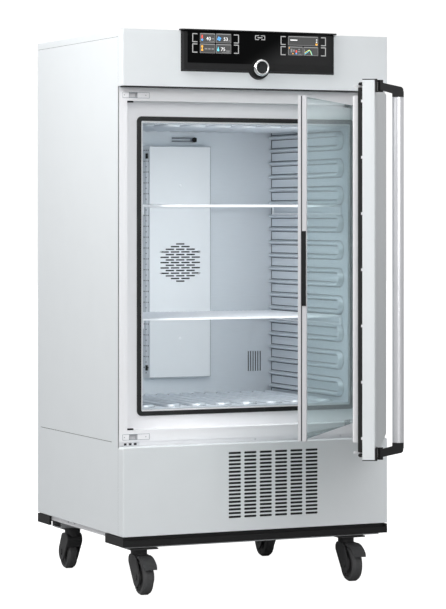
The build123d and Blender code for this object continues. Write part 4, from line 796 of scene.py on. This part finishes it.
def lighting_world():
    """White behind the object, and a grey surround for its light, brighter above and to the left."""
    world = bpy.data.worlds.new("studio_world")
    world.use_nodes = True
    tree = world.node_tree
    out = tree.nodes["World Output"]
    surround = tree.nodes["Background"]
    towards = tree.nodes.new("ShaderNodeTexCoord")
    parts = tree.nodes.new("ShaderNodeSeparateXYZ")
    tree.links.new(towards.outputs["Generated"], parts.inputs["Vector"])
    shares = []
    for axis, low, high in (("Z", 0.12, 0.66), ("X", 1.18, 0.56)):
        share = tree.nodes.new("ShaderNodeMapRange")
        share.inputs["From Min"].default_value = -1.0
        share.inputs["To Min"].default_value = low
        share.inputs["To Max"].default_value = high
        tree.links.new(parts.outputs[axis], share.inputs["Value"])
        shares.append(share)
    both = tree.nodes.new("ShaderNodeMath")
    both.operation = "MULTIPLY"
    for index, share in enumerate(shares):
        tree.links.new(share.outputs["Result"], both.inputs[index])
    tree.links.new(both.outputs["Value"], surround.inputs["Strength"])
    surround.inputs["Color"].default_value = (0.97, 0.985, 1.0, 1)
    rays = tree.nodes.new("ShaderNodeLightPath")
    last = surround
    for kind, strength in (("Is Glossy Ray", 0.8), ("Is Camera Ray", 1.05)):
        plain = tree.nodes.new("ShaderNodeBackground")
        plain.inputs["Color"].default_value = (1, 1, 1, 1)
        plain.inputs["Strength"].default_value = strength
        choice = tree.nodes.new("ShaderNodeMixShader")
        tree.links.new(rays.outputs[kind], choice.inputs["Fac"])
        tree.links.new(last.outputs[0], choice.inputs[1])
        tree.links.new(plain.outputs[0], choice.inputs[2])
        last = choice
    tree.links.new(last.outputs[0], out.inputs["Surface"])
    bpy.context.scene.world = world


def studio():
    """White floor that the camera sees as plain paper, with the world's light above it."""
    bm = bmesh.new()
    bmesh.ops.create_grid(bm, x_segments=1, y_segments=1, size=30.0)
    mesh = bpy.data.meshes.new("studio_floor")
    bm.to_mesh(mesh)
    bm.free()
    floor = bpy.data.objects.new("studio_floor", mesh)
    floor.location.z = -0.0005
    bpy.context.scene.collection.objects.link(floor)
    paper = finish("floor_paper", (0.42, 0.42, 0.42), (0.41, 0.41, 0.41), 0.9, relief=0.0,
                   Specular_IOR_Level=0.0)
    rays = paper.node_tree.nodes.new("ShaderNodeLightPath")
    shader = paper.node_tree.nodes["Principled BSDF"]
    shader.inputs["Emission Color"].default_value = (0.98, 0.98, 0.98, 1)
    paper.node_tree.links.new(rays.outputs["Is Camera Ray"], shader.inputs["Emission Strength"])
    mesh.materials.append(paper)
    bpy.context.scene.view_settings.view_transform = "Standard"
    lighting_world()


def soft_light(name, place, target, size, power, seen=True):
    light = bpy.data.lights.new(name, "AREA")
    light.shape = "RECTANGLE"
    light.size, light.size_y = size
    light.energy = power
    lamp = bpy.data.objects.new(name, light)
    lamp.location = place
    lamp.rotation_euler = (Vector(target) - Vector(place)).to_track_quat("-Z", "Y").to_euler()
    lamp.visible_camera = lamp.visible_glossy = seen
    bpy.context.scene.collection.objects.link(lamp)


def camera():
    """Level camera at the photograph's place, for a frame whose long side is the sensor's 36 mm."""
    data = bpy.data.cameras.new("photo_camera")
    data.lens = 150.0
    data.sensor_width = 36.0
    data.shift_y = -0.1433
    data.clip_end = 100.0
    eye = bpy.data.objects.new("photo_camera", data)
    eye.location = (-3.0688, -6.799, 1.0441)
    eye.rotation_euler = (math.radians(90), 0, math.radians(-24.6))
    bpy.context.scene.collection.objects.link(eye)
    bpy.context.scene.camera = eye


studio()
soft_light("key_light", (-1.9, -0.7, 2.5), (-0.41, 0.1, 1.45), (1.2, 1.2), 38.0)
soft_light("fill_light", (-0.9, -5.0, 2.6), (0, 0, 1.2), (2.5, 2.5), 89.0)
soft_light("top_light", (0.0, -0.4, 4.5), (0, 0, 1.0), (3.0, 3.0), 30.0)
soft_light("chamber_light", (0.0, -0.26, 0.95), (0, 0.2, 0.9), (0.5, 0.7), 2.6, seen=False)
camera()
